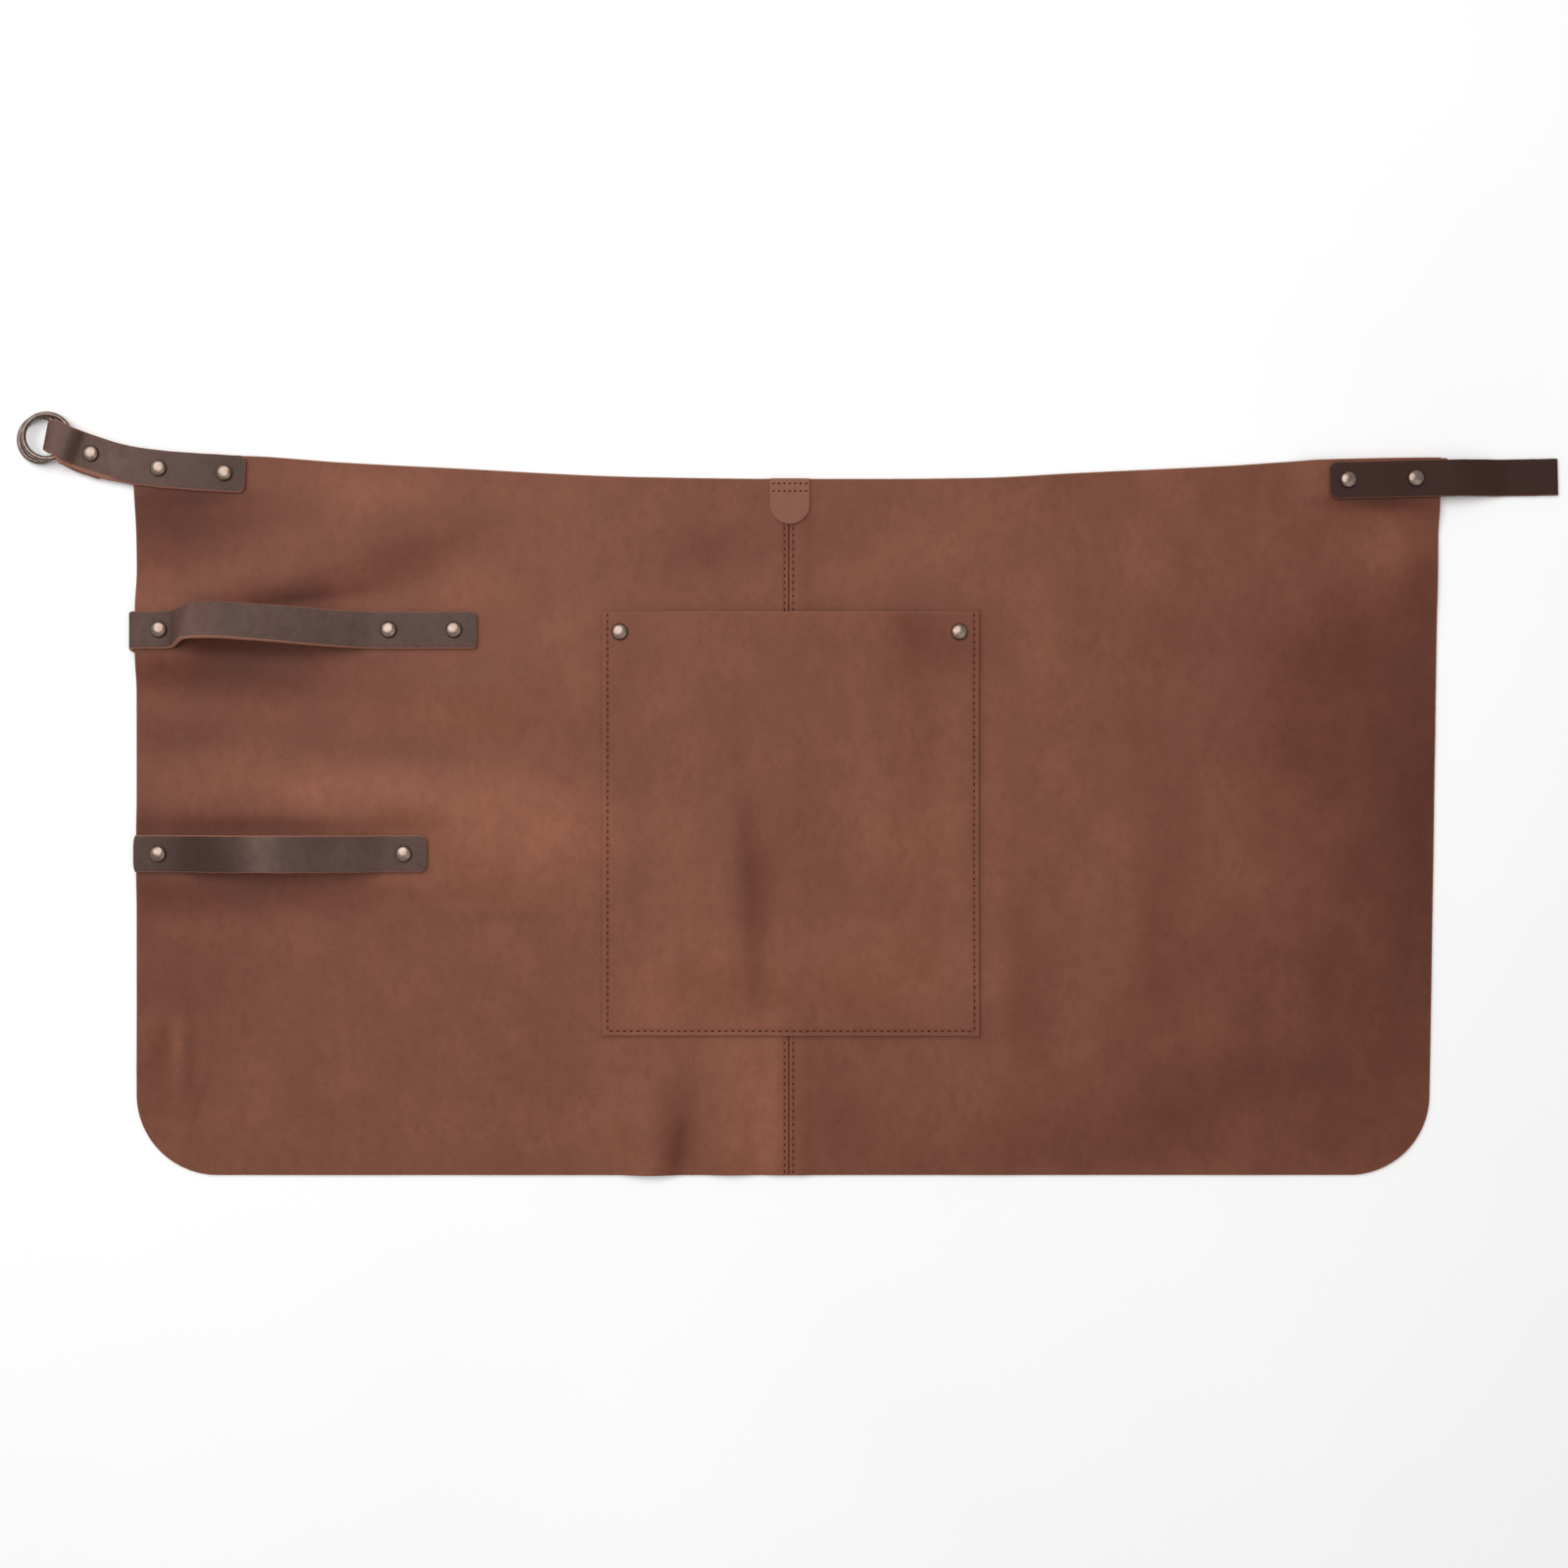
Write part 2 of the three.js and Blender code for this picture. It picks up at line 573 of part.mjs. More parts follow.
// Adds the stations that shape a strap's ends, each an elliptic corner that reaches deep along
// the strap and wide in from its edge, and gives every station its half width.
function shapeEnds(path, width, start, finish) {
  const lengths = [0];
  for (let i = 1; i < path.length; i++) {
    const step = Math.hypot(path[i].along - path[i - 1].along, path[i].z - path[i - 1].z);
    lengths.push(lengths[i - 1] + step);
  }
  const total = lengths.at(-1);
  const corner = [0, 30, 60, 90].map((degrees) => 1 - Math.cos(rad(degrees)));
  const stops = new Set([0, total]);
  for (const share of corner) {
    if (start.deep) stops.add(start.deep * share);
    if (finish.deep) stops.add(total - finish.deep * share);
  }
  const near = (length) => length < start.deep + 0.5 || length > total - finish.deep - 0.5;
  for (const length of lengths) {
    if (!near(length)) stops.add(length);
  }
  const narrowing = (distance, { deep, wide }) => {
    if (distance >= deep) return 0;
    return wide * (1 - Math.sqrt(1 - (1 - distance / deep) ** 2));
  };
  return [...stops].sort((a, b) => a - b).map((length) => {
    const after = Math.max(1, lengths.findIndex((reached) => reached >= length - 1e-9));
    const share = (length - lengths[after - 1]) / (lengths[after] - lengths[after - 1]);
    const mix = (name) => {
      const from = path[after - 1][name] ?? 0;
      const to = path[after][name] ?? 0;
      return from + (to - from) * share;
    };
    const ends = narrowing(length, start) + narrowing(total - length, finish);
    return {
      along: mix("along"),
      z: mix("z"),
      shift: mix("shift"),
      twist: mix("twist"),
      half: width / 2 - mix("pinch") - ends,
    };
  });
}

// A bevelled strap swept along stations of its middle line, in the upright surface over its plan
function strapSolid(stations, plan) {
  const positions = [];
  const sides = 8;
  stations.forEach(({ along, z, shift, twist, half }, i) => {
    const before = stations[Math.max(i - 1, 0)];
    const after = stations[Math.min(i + 1, stations.length - 1)];
    const length = Math.hypot(after.along - before.along, after.z - before.z);
    const normalAlong = -(after.z - before.z) / length;
    const normalZ = (after.along - before.along) / length;
    const inner = half - STRAP_BEVEL;
    const face = STRAP / 2;
    const side = face - STRAP_BEVEL;
    const section = [
      [-inner, -face],
      [inner, -face],
      [half, -side],
      [half, side],
      [inner, face],
      [-inner, face],
      [-half, side],
      [-half, -side],
    ];
    const angle = rad(twist);
    for (const [across, out] of section) {
      const turnedAcross = across * Math.cos(angle) + out * Math.sin(angle) + shift;
      const turnedOut = out * Math.cos(angle) - across * Math.sin(angle);
      const at = plan(along + normalAlong * turnedOut);
      positions.push(
        at.x + at.acrossX * turnedAcross,
        at.y + at.acrossY * turnedAcross,
        z + normalZ * turnedOut,
      );
    }
  });
  const faces = [];
  const last = (stations.length - 1) * sides;
  for (let k = 1; k < sides - 1; k++) {
    faces.push(0, k + 1, k);
    faces.push(last, last + k, last + k + 1);
  }
  for (let i = 0; i < stations.length - 1; i++) {
    for (let k = 0; k < sides; k++) {
      const a = i * sides + k;
      const b = i * sides + ((k + 1) % sides);
      faces.push(a, b, a + sides, b, b + sides, a + sides);
    }
  }
  return solidOf(meshGeometry(positions, faces));
}

const corner = (radius) => ({ deep: radius, wide: radius });
const squareCut = corner(0);

// Stations over a loop's bulge, from its first rivet to its second
function bulge(start, span, rise, lean, twist, table, from, to) {
  const riseAt = curveThrough(table, "along", "rise");
  const leanAt = curveThrough(table, "along", "lean");
  return gridLines(0, 1, table.map((row) => row.along), STRAP_STEP / span).map((share) => ({
    along: start + share * span,
    z: from + (to - from) * smooth(share) + rise * riseAt(share),
    shift: lean * leanAt(share),
    twist: twist * leanAt(share),
  }));
}

function upperLoop() {
  const fold = CLEAR_OF_RETURN + SHEET / 2 - RETURN_MIDDLE;
  const path = [
    { along: UPPER_LOOP_INSET + RETURN_END, z: RETURN_MIDDLE, shift: -WRAP_SKEW },
    { along: UPPER_LOOP_INSET, z: RETURN_MIDDLE, shift: -WRAP_SKEW },
  ];
  for (let i = 0; i <= ARC_STEPS; i++) {
    const angle = (Math.PI * i) / ARC_STEPS;
    path.push({
      along: WRAP_TUCK - fold * Math.sin(angle),
      z: RETURN_MIDDLE + fold * (1 - Math.cos(angle)),
      shift: -WRAP_SKEW * (1 - smooth(i / ARC_STEPS)),
    });
  }
  const front = middleOn(CLEAR_OF_RETURN);
  const end = middleOn(CLEAR_OF_BACK_CAP);
  path.push(
    ...bulge(
      UPPER_LOOP_INSET,
      UPPER_LOOP_SPAN,
      UPPER_LOOP_RISE,
      UPPER_LOOP_LEAN,
      UPPER_LOOP_TWIST,
      UPPER_LOOP_BULGE,
      front,
      end,
    ),
    { along: UPPER_LOOP_INSET + UPPER_LOOP_SPAN + UPPER_LOOP_PITCH, z: end },
    { along: UPPER_LOOP_INSET + UPPER_LOOP_SPAN + UPPER_LOOP_PITCH + LOOP_TAIL, z: end },
  );
  const stations = shapeEnds(path, STRAP_WIDTH, squareCut, corner(UPPER_LOOP_CORNER));
  return punch(strapSolid(stations, upperLoopPlan), upperLoopRivets);
}

function lowerLoop() {
  const level = middleOn(CLEAR_OF_BACK_CAP);
  const path = [
    { along: -LOWER_LOOP_OVERHANG, z: level },
    ...bulge(LOWER_LOOP_INSET, LOWER_LOOP_SPAN, LOWER_LOOP_RISE, 0, 0, LOWER_LOOP_BULGE, level, level),
    { along: LOWER_LOOP_INSET + LOWER_LOOP_SPAN + LOOP_TAIL, z: level },
  ];
  const bowed = { deep: LOWER_LOOP_BOW, wide: STRAP_WIDTH * 0.4 };
  const stations = shapeEnds(path, STRAP_WIDTH, bowed, corner(LOWER_LOOP_CORNER));
  return punch(strapSolid(stations, lowerLoopPlan), lowerLoopRivets);
}

// Side view of the ring strap: over the body, down to the first rivet, up over the rings' wires,
// round the fold and back under itself.
function ringStrap() {
  const onBody = middleOn(CLEAR_OF_BACK_CAP);
  const overReturn = RETURN_MIDDLE + STRAP + GAP;
  const top = RING_BUMP_TOP - STRAP / 2;
  const bottom = STRAP / 2;
  const foldStart = RING_STRAP_LENGTH - STRAP / 2 - RING_FOLD_DEPTH;
  const bumpStart = foldStart - RING_BUMP_LENGTH;
  const rivet = RING_STRAP_RIVETS[0];
  const level = CAP_RADIUS + 1.2;
  const rise = (share, from, to) => from + (to - from) * smooth(share);
  const path = [
    { along: 0, z: onBody },
    ...gridLines(RING_STRAP_CORNER + 1, RING_STRAP_INSET, RING_STRAP_RIVETS, 2 * STRAP_STEP).map((along) => ({
      along,
      z: onBody,
    })),
  ];
  for (const share of [0.5, 1]) {
    const along = RING_STRAP_INSET + share * (rivet - level - RING_STRAP_INSET);
    path.push({ along, z: rise(share, onBody, overReturn) });
  }
  path.push({ along: rivet, z: overReturn });
  const slopeStart = Math.max(rivet + level, bumpStart - RING_BUMP_SLOPE);
  for (const share of [0, 0.25, 0.5, 0.75, 1]) {
    path.push({ along: slopeStart + share * (bumpStart - slopeStart), z: rise(share, overReturn, top) });
  }
  path.push({ along: bumpStart + RING_BUMP_LENGTH / 2, z: top, pinch: RING_FOLD_PINCH * 0.4 });
  const power = (value) => Math.sign(value) * Math.abs(value) ** (2 / RING_FOLD_SQUARENESS);
  const steps = ARC_STEPS + 3;
  for (let i = 0; i <= steps; i++) {
    const angle = Math.PI * (0.5 - i / steps);
    path.push({
      along: foldStart + RING_FOLD_DEPTH * power(Math.cos(angle)),
      z: (top + bottom) / 2 + ((top - bottom) / 2) * power(Math.sin(angle)),
      pinch: RING_FOLD_PINCH,
    });
  }
  path.push({ along: foldStart - RING_BUMP_LENGTH / 2, z: bottom, pinch: RING_FOLD_PINCH * 0.4 });
  for (const share of [0, 0.5, 1]) {
    path.push({ along: bumpStart - share * (bumpStart - rivet - level), z: rise(share, bottom, RETURN_MIDDLE) });
  }
  path.push({ along: rivet, z: RETURN_MIDDLE });
  path.push({ along: rivet - RETURN_END + 2, z: RETURN_MIDDLE });
  const stations = shapeEnds(path, STRAP_WIDTH, corner(RING_STRAP_CORNER), corner(RING_STRAP_CORNER));
  return punch(strapSolid(stations, ringStrapPlan), ringStrapRivets);
}

function waistStrap() {
  const high = middleOn(CLEAR_OF_RETURN);
  const low = STRAP / 2;
  const path = [{ along: 0, z: high }, ...WAIST_STRAP_RIVETS.map((along) => ({ along, z: high }))];
  for (const share of [0, 0.15, 0.3, 0.5, 0.7, 0.85, 1]) {
    path.push({
      along: WAIST_STRAP_INSET + WAIST_STRAP_CLEAR + share * WAIST_STRAP_FALL,
      z: high + (low - high) * smooth(share),
    });
  }
  path.push({ along: WAIST_STRAP_LENGTH, z: low });
  const stations = shapeEnds(path, STRAP_WIDTH, corner(WAIST_STRAP_CORNER), squareCut);
  return punch(strapSolid(stations, waistStrapPlan), waistStrapRivets);
}

function waistStrapBacking() {
  const path = [0, 0.5, 1].map((share) => ({ along: share * BACKING_LENGTH, z: RETURN_MIDDLE }));
  const stations = shapeEnds(path, STRAP_WIDTH, corner(BACKING_CORNER), corner(BACKING_CORNER));
  return punch(strapSolid(stations, backingPlan), waistStrapRivets);
}

// Metal

// A through rivet standing on its back cap, with the underside of its domed cap at height under
function rivetGeometry(under) {
  const profile = [
    [0, 0],
    [BACK_CAP_RADIUS, 0],
    [BACK_CAP_RADIUS, BACK_CAP],
    [POST_RADIUS, BACK_CAP],
    [POST_RADIUS, under],
    [CAP_RADIUS, under],
    [CAP_RADIUS, under + CAP_RIM],
    [CAP_RADIUS * 0.86, under + CAP_DOME * 0.62],
    [CAP_RADIUS * 0.5, under + CAP_DOME * 0.92],
    [0, under + CAP_DOME],
  ];
  const geometry = new THREE.LatheGeometry(profile.map(([r, z]) => new THREE.Vector2(r, z)), RIVET_SIDES);
  geometry.rotateX(Math.PI / 2);
  return geometry;
}

const ringMiddle = (RING_OUTSIDE - RING_WIRE) / 2;
const ringGeometry = () => new THREE.TorusGeometry(ringMiddle, RING_WIRE / 2, 8, 28);

// Turns a level ring so that its highest side lies in the direction of bearing.
function tiltRing(mesh, degrees, bearing) {
  const axis = new THREE.Vector3(Math.sin(rad(bearing)), -Math.cos(rad(bearing)), 0);
  mesh.quaternion.setFromAxisAngle(axis, rad(degrees));
}

// Assembly

const bodyLeather = new THREE.MeshStandardMaterial({ color: 0x7d5041, roughness: 0.62, metalness: 0 });
const tabLeather = new THREE.MeshStandardMaterial({ color: 0x896455, roughness: 0.85, metalness: 0 });
const strapLeather = new THREE.MeshStandardMaterial({ color: 0x4a3a35, roughness: 0.6, metalness: 0 });
const rivetMetal = new THREE.MeshStandardMaterial({ color: 0x8c6e60, roughness: 0.25, metalness: 1 });
const ringMetal = new THREE.MeshStandardMaterial({ color: 0x9a8478, roughness: 0.22, metalness: 1 });

const apron = new THREE.Group();

function add(name, geometry, material) {
  const mesh = new THREE.Mesh(geometry, material);
  mesh.name = name;
  apron.add(mesh);
  return mesh;
}

const onLeft = ({ x }) => x < 0 && x > -leftTop;
const bodyRivets = [...ringStrapRivets, ...upperLoopRivets, ...lowerLoopRivets, ...pocketRivets];
const rightRivets = [pocketRivets[1], ...waistStrapRivets];
const panelLeft = bodyHalf(leftOutline(), gridX[0], 0, bodyRivets.filter(onLeft));
const panelRight = bodyHalf(rightOutline(), 0, gridX.at(-1), rightRivets);
add("panel_left", geometryOf(panelLeft), bodyLeather);
add("panel_right", geometryOf(panelRight), bodyLeather);
add("pocket", geometryOf(pocketFront()), bodyLeather);
add("waist_tab", geometryOf(waistTab()), tabLeather);
add("ring_strap", geometryOf(ringStrap()), strapLeather);
add("loop_strap_upper", geometryOf(upperLoop()), strapLeather);
add("loop_strap_lower", geometryOf(lowerLoop()), strapLeather);
add("waist_strap", geometryOf(waistStrap()), strapLeather);
add("waist_strap_backing", geometryOf(waistStrapBacking()), strapLeather);

// Height of the top face of the leather under each rivet's cap
const onReturn = middleOn(CLEAR_OF_RETURN) + STRAP / 2;
const onBody = middleOn(CLEAR_OF_BACK_CAP) + STRAP / 2;
const onRingFold = RETURN_MIDDLE + STRAP + GAP + STRAP / 2;
const onPocket = CLEAR_OF_BACK_CAP + SHEET + GAP + SHEET;
const rivetRows = [
  { name: "rivet_ring_strap", places: ringStrapRivets, tops: [onRingFold, onBody, onBody] },
  { name: "rivet_upper_loop", places: upperLoopRivets, tops: [onReturn, onBody, onBody] },
  { name: "rivet_lower_loop", places: lowerLoopRivets, tops: [onBody, onBody] },
  { name: "rivet_pocket", places: pocketRivets, tops: [onPocket, onPocket] },
  { name: "rivet_waist_strap", places: waistStrapRivets, tops: [onReturn, onReturn] },
];
for (const { name, places, tops } of rivetRows) {
  places.forEach(({ x, y }, i) => {
    const rivet = add(`${name}_${i + 1}`, rivetGeometry(tops[i] + GAP), rivetMetal);
    rivet.position.set(x, y, 0);
  });
}

// The lower ring rests on the floor at its far side and on the turned-back strap at the other.
const lowerRingTilt = rad(LOWER_RING_TILT);
const lowerRingAt = ringStrapPlan(RING_STRAP_LENGTH + RING_REACH);
const foldHeading = RING_STRAP_BEND.at(-1).heading;
const lowerRing = add("ring_lower", ringGeometry(), ringMetal);
lowerRing.position.set(
  lowerRingAt.x,
  lowerRingAt.y,
  RING_WIRE / 2 + ringMiddle * Math.sin(lowerRingTilt),
);
tiltRing(lowerRing, LOWER_RING_TILT, -foldHeading);

const upperRingAt = ringStrapPlan(RING_STRAP_LENGTH + RING_REACH - RING_APART_ALONG);
const upperRing = add("ring_upper", ringGeometry(), ringMetal);
upperRing.position.set(
  upperRingAt.x - upperRingAt.acrossX * RING_APART_ACROSS,
  upperRingAt.y - upperRingAt.acrossY * RING_APART_ACROSS,
  lowerRing.position.z + RING_WIRE + RING_SPACE,
);
tiltRing(upperRing, UPPER_RING_TILT, UPPER_RING_BEARING);

// The whole stands on the origin: the middle of its outline in plan, at floor height.
const bounds = new THREE.Box3().setFromObject(apron, true);
const middle = bounds.getCenter(new THREE.Vector3());
apron.position.set(-middle.x, -middle.y, -bounds.min.z);

const root = new THREE.Group();
root.add(apron);

export default root;
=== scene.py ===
"""A leather waist apron for the grill, lying face up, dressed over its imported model.

Lengths are millimetres in the part's own plan until place() turns them into metres of the frame:
x runs along the waist from the centre seam, y from the hem up to the waist, z up from the surface.
"""

import math

import bmesh
import bpy
import numpy as np
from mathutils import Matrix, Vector


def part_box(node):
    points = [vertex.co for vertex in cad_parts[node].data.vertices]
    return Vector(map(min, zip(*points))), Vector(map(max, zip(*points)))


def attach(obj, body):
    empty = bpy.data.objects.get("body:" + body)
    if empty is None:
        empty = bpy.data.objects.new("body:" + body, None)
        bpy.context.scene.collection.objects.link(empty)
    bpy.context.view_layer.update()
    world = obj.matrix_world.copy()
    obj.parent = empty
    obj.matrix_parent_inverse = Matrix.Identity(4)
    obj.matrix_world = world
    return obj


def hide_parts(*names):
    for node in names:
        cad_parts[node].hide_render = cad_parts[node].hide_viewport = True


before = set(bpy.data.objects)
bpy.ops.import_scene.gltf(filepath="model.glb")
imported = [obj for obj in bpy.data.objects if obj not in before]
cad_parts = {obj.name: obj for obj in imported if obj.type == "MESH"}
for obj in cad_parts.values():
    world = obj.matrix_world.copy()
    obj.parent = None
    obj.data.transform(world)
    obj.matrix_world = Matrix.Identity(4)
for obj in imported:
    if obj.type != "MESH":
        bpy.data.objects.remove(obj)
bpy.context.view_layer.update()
MM = 0.001

# The part's own measures
SHEET = 1.6
STRAP = 2.4
STRAP_WIDTH = 21
GAP = 0.3
EDGE_GAP = 0.14
EDGE_GAP_WIDTH = 5
EDGE_GAP_FADE = 10
BODY_HEIGHT = 402
LEFT_WIDTH = 376.7
RIGHT_WIDTH = 370
LEFT_FLARE = 2.7
LEFT_FLARE_HEIGHT = 64
RIGHT_FLARE = 5.5
HEM_CORNER = 46.5
WAIST_RISE = 13.5
WAIST_LINE = [
    (-1, 1), (-0.83, 0.97), (-0.68, 0.7), (-0.46, 0.37), (-0.23, 0.08), (0, 0),
    (0.15, 0), (0.29, 0.04), (0.44, 0.25), (0.67, 0.55), (0.82, 0.8), (1, 0.88),
]
SEAM_ALLOWANCE = 9
SEAM_SKIVE = 6
TURNED_END = SEAM_ALLOWANCE + SEAM_SKIVE + 1
TURNED_SLOPE = SEAM_SKIVE + 4
TURNED_SHARE = 0.75
SEAM_HALF = 0.02
SEAM_GROOVE = 0.95
SEAM_ROLL = 1.2
SEAM_ROW = 2.5
TAB_WIDTH = 23
TAB_LENGTH = 26.5
TAB_SHIFT = 0.5
TAB_ROWS = [BODY_HEIGHT - 3.1, BODY_HEIGHT - 7.4]
POCKET_LEFT = 107.2
POCKET_RIGHT = 109.5
POCKET_UP = 80.6
POCKET_HEIGHT = 244.3
POCKET_DEPTH = 5
POCKET_FLAT_SIDE = 18
POCKET_FLAT_BOTTOM = 6
POCKET_SWELL = 40
POCKET_ROW = 2.7
POCKET_RIVETS = [(-97.5, 313.4), (98.1, 313.4)]
CAP_RADIUS = 4.75
CAP_DOME = 2.4
CAP_RIM = 0.7
BACK_CAP_RADIUS = 4.5
BACK_CAP = 1.2
POST_RADIUS = 2
LOOP_TAIL = 13.2
UPPER_LOOP_UP = 314.6
UPPER_LOOP_INSET = 14.8
UPPER_LOOP_SPAN = 131.5
UPPER_LOOP_PITCH = 37.5
UPPER_LOOP_RISE = 18
UPPER_LOOP_LEAN = 4.7
UPPER_LOOP_TWIST = 17
UPPER_LOOP_CORNER = 3
WRAP_TUCK = 0.2
WRAP_SKEW = 2.2
RETURN_END = 12
LOWER_LOOP_UP = 185.6
LOWER_LOOP_INSET = 13.6
LOWER_LOOP_SPAN = 141.3
LOWER_LOOP_RISE = 14
LOWER_LOOP_CORNER = 4.3
LOWER_LOOP_OVERHANG = 0.9
LOWER_LOOP_BOW = 1.4
UPPER_RISE = [
    (0, 0), (0.045, 0.02), (0.1, 0.3), (0.15, 0.68), (0.2, 0.9), (0.27, 1), (0.39, 0.93),
    (0.59, 0.62), (0.8, 0.26), (0.95, 0), (1, 0),
]
UPPER_LEAN = [
    (0, 0), (0.05, 0.1), (0.1, 0.6), (0.14, 0.95), (0.19, 1), (0.26, 1), (0.39, 0.85),
    (0.59, 0.5), (0.8, 0.12), (0.95, 0), (1, 0),
]
LOWER_RISE = [
    (0, 0), (0.06, 0.03), (0.2, 0.38), (0.35, 0.8), (0.5, 1), (0.65, 0.86), (0.8, 0.45),
    (0.94, 0.02), (1, 0),
]
RING_STRAP_INSET = 66.2
RING_STRAP_BELOW = 11.2
RING_STRAP_LENGTH = 117
RING_STRAP_CORNER = 3.5
RING_STRAP_RIVET = 89.5
RING_FOLD_DEPTH = 3.8
RING_FOLD_SQUARENESS = 2.6
RING_FOLD_PINCH = 1.5
RING_BUMP_TOP = 11.5
RING_BUMP_LENGTH = 8
RING_BUMP_SLOPE = 8
RING_STRAP_BEND = [
    (0, 3), (0.23, 3.5), (0.44, 6), (0.6, 12), (0.75, 19), (0.85, 20), (0.94, 14), (1, 11),
]
RING_WIRE = 3
RING_OUTSIDE = 29
RING_REACH = 3.6
RING_APART_ALONG = 4.2
RING_APART_ACROSS = 2
RING_SPACE = 0.7
LOWER_RING_TILT = 6.8
UPPER_RING_TILT = 8.7
UPPER_RING_BEARING = 213
WAIST_STRAP_INSET = 64.9
WAIST_STRAP_LENGTH = 133.3
WAIST_STRAP_BELOW = 13.58
WAIST_STRAP_ANGLE = 1.25
WAIST_STRAP_CORNER = 4.5
WAIST_STRAP_CLEAR = 6.5
WAIST_STRAP_FALL = 35
BACKING_INSET = 59.2
BACKING_LENGTH = 64.4
BACKING_LIFT = 1.6
BACKING_CORNER = 2
SEAT_FALL = 22
SEAT_REACH = 23

# Soft folds of the body and the pocket: x, y, heading in degrees, long, wide, high
FOLDS = [
    (-235.1, 367.4, 23, 186.9, 73.6, 5),
    (-184.2, 288.2, -5, 170, 79.2, 4.5),
    (-206.8, 197.4, -8, 238, 84.8, 5),
    (-81, 13.3, 95, 102.1, 40.2, 4),
    (-33.9, 27.3, 90, 113.4, 34.2, 3),
    (117.3, 78.4, 90, 203.8, 62.3, 3.5),
    (195.4, 135.1, 80, 141.5, 67.9, 3),
    (274.9, 282.6, 75, 226.7, 113.4, 5),
    (337.1, 344.9, 10, 113.4, 67.9, 4),
]
POCKET_FOLDS = [(-26.8, 166.1, 96, 146.6, 39.1, 3)]
SMALL_FOLDS = [
    (-365, 81.3, 92, 42, 16, 2.1),
    (-372, 66, 70, 22, 9, 0.9),
    (-298, 343, 12, 150, 26, 0.9),
    (126.3, 106.8, 90.5, 240, 16, 0.5),
    (-190, 150, 3, 120, 16, 0.5),
    (182, 165, 86, 110, 22, 0.8),
    (-66, 20, 84, 50, 17, 1.0),
]

CLEAR_OF_BACK_CAP = BACK_CAP + GAP
CLEAR_OF_RETURN = CLEAR_OF_BACK_CAP + STRAP + GAP
RETURN_MIDDLE = CLEAR_OF_BACK_CAP + STRAP / 2
LEFT_TOP = LEFT_WIDTH + LEFT_FLARE
RIGHT_TOP = RIGHT_WIDTH + RIGHT_FLARE
POCKET_TOP = POCKET_UP + POCKET_HEIGHT
RING_STRAP_START = -LEFT_TOP + RING_STRAP_INSET
WAIST_STRAP_START = RIGHT_TOP - WAIST_STRAP_INSET

PLAN_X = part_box("panel_left")[1].x / MM + GAP / 2
PLAN_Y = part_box("panel_left")[0].y / MM


def place(points):
    """Plan millimetres as metres of the frame."""
    return (np.asarray(points, float) + (PLAN_X, PLAN_Y, 0)) * MM


def middle_on(lift):
    return lift + SHEET + GAP + STRAP / 2


def smooth(share):
    t = np.clip(share, 0, 1)
    return t * t * (3 - 2 * t)


def curve_through(rows):
    """A smooth curve through the rows that never overshoots them."""
    xs = np.array([row[0] for row in rows], float)
    ys = np.array([row[1] for row in rows], float)
    secants = np.diff(ys) / np.diff(xs)
    slopes = np.zeros(len(xs))
    for i in range(1, len(xs) - 1):
        before, after = secants[i - 1], secants[i]
        if before * after > 0:
            slopes[i] = 2 * before * after / (before + after)

    def at(x):
        x = np.asarray(x, float)
        i = np.clip(np.searchsorted(xs, x, side="left") - 1, 0, len(xs) - 2)
        length = xs[i + 1] - xs[i]
        t = np.clip((x - xs[i]) / length, 0, 1)
        rise = smooth(t)
        bend = t * (1 - t) * length
        return ys[i] * (1 - rise) + ys[i + 1] * rise + bend * ((1 - t) * slopes[i] - t * slopes[i + 1])

    return at


waist_rise = curve_through(WAIST_LINE)


def waist_height(across):
    return BODY_HEIGHT + WAIST_RISE * waist_rise(across)


def waist_at(x):
    x = np.asarray(x, float)
    return waist_height(np.clip(np.where(x < 0, x / LEFT_TOP, x / RIGHT_TOP), -1, 1))


def straight_plan(x, y, degrees):
    angle = math.radians(degrees)
    turn = (-math.sin(angle), math.cos(angle))

    def at(along):
        along = np.asarray(along, float)
        ones = np.ones_like(along)
        return x + along * math.cos(angle), y + along * math.sin(angle), ones * turn[0], ones * turn[1]

    return at


def bent_plan(x, y, length, bend):
    heading = curve_through(bend)
    angles = np.radians(heading((np.arange(math.ceil(length)) + 0.5) / length))
    xs = x - np.concatenate([[0], np.cumsum(np.cos(angles))])
    ys = y + np.concatenate([[0], np.cumsum(np.sin(angles))])

    def at(along):
        along = np.asarray(along, float)
        i = np.clip(np.floor(along).astype(int), 0, len(xs) - 2)
        rest = along - i
        angle = np.radians(heading(along / length))
        px = xs[i] + rest * (xs[i + 1] - xs[i])
        py = ys[i] + rest * (ys[i + 1] - ys[i])
        return px, py, -np.sin(angle), -np.cos(angle)

    return at


upper_loop_plan = straight_plan(-LEFT_WIDTH, UPPER_LOOP_UP, 0)
lower_loop_plan = straight_plan(-LEFT_WIDTH, LOWER_LOOP_UP, 0)
ring_strap_plan = bent_plan(
    RING_STRAP_START,
    float(waist_height(-1)) - RING_STRAP_BELOW,
    RING_STRAP_LENGTH,
    RING_STRAP_BEND,
)
WAIST_STRAP_UP = float(waist_height(1)) - WAIST_STRAP_BELOW
waist_strap_plan = straight_plan(WAIST_STRAP_START, WAIST_STRAP_UP, WAIST_STRAP_ANGLE)
backing_plan = straight_plan(RIGHT_TOP - BACKING_INSET, WAIST_STRAP_UP + BACKING_LIFT, WAIST_STRAP_ANGLE)

# The lie of the body

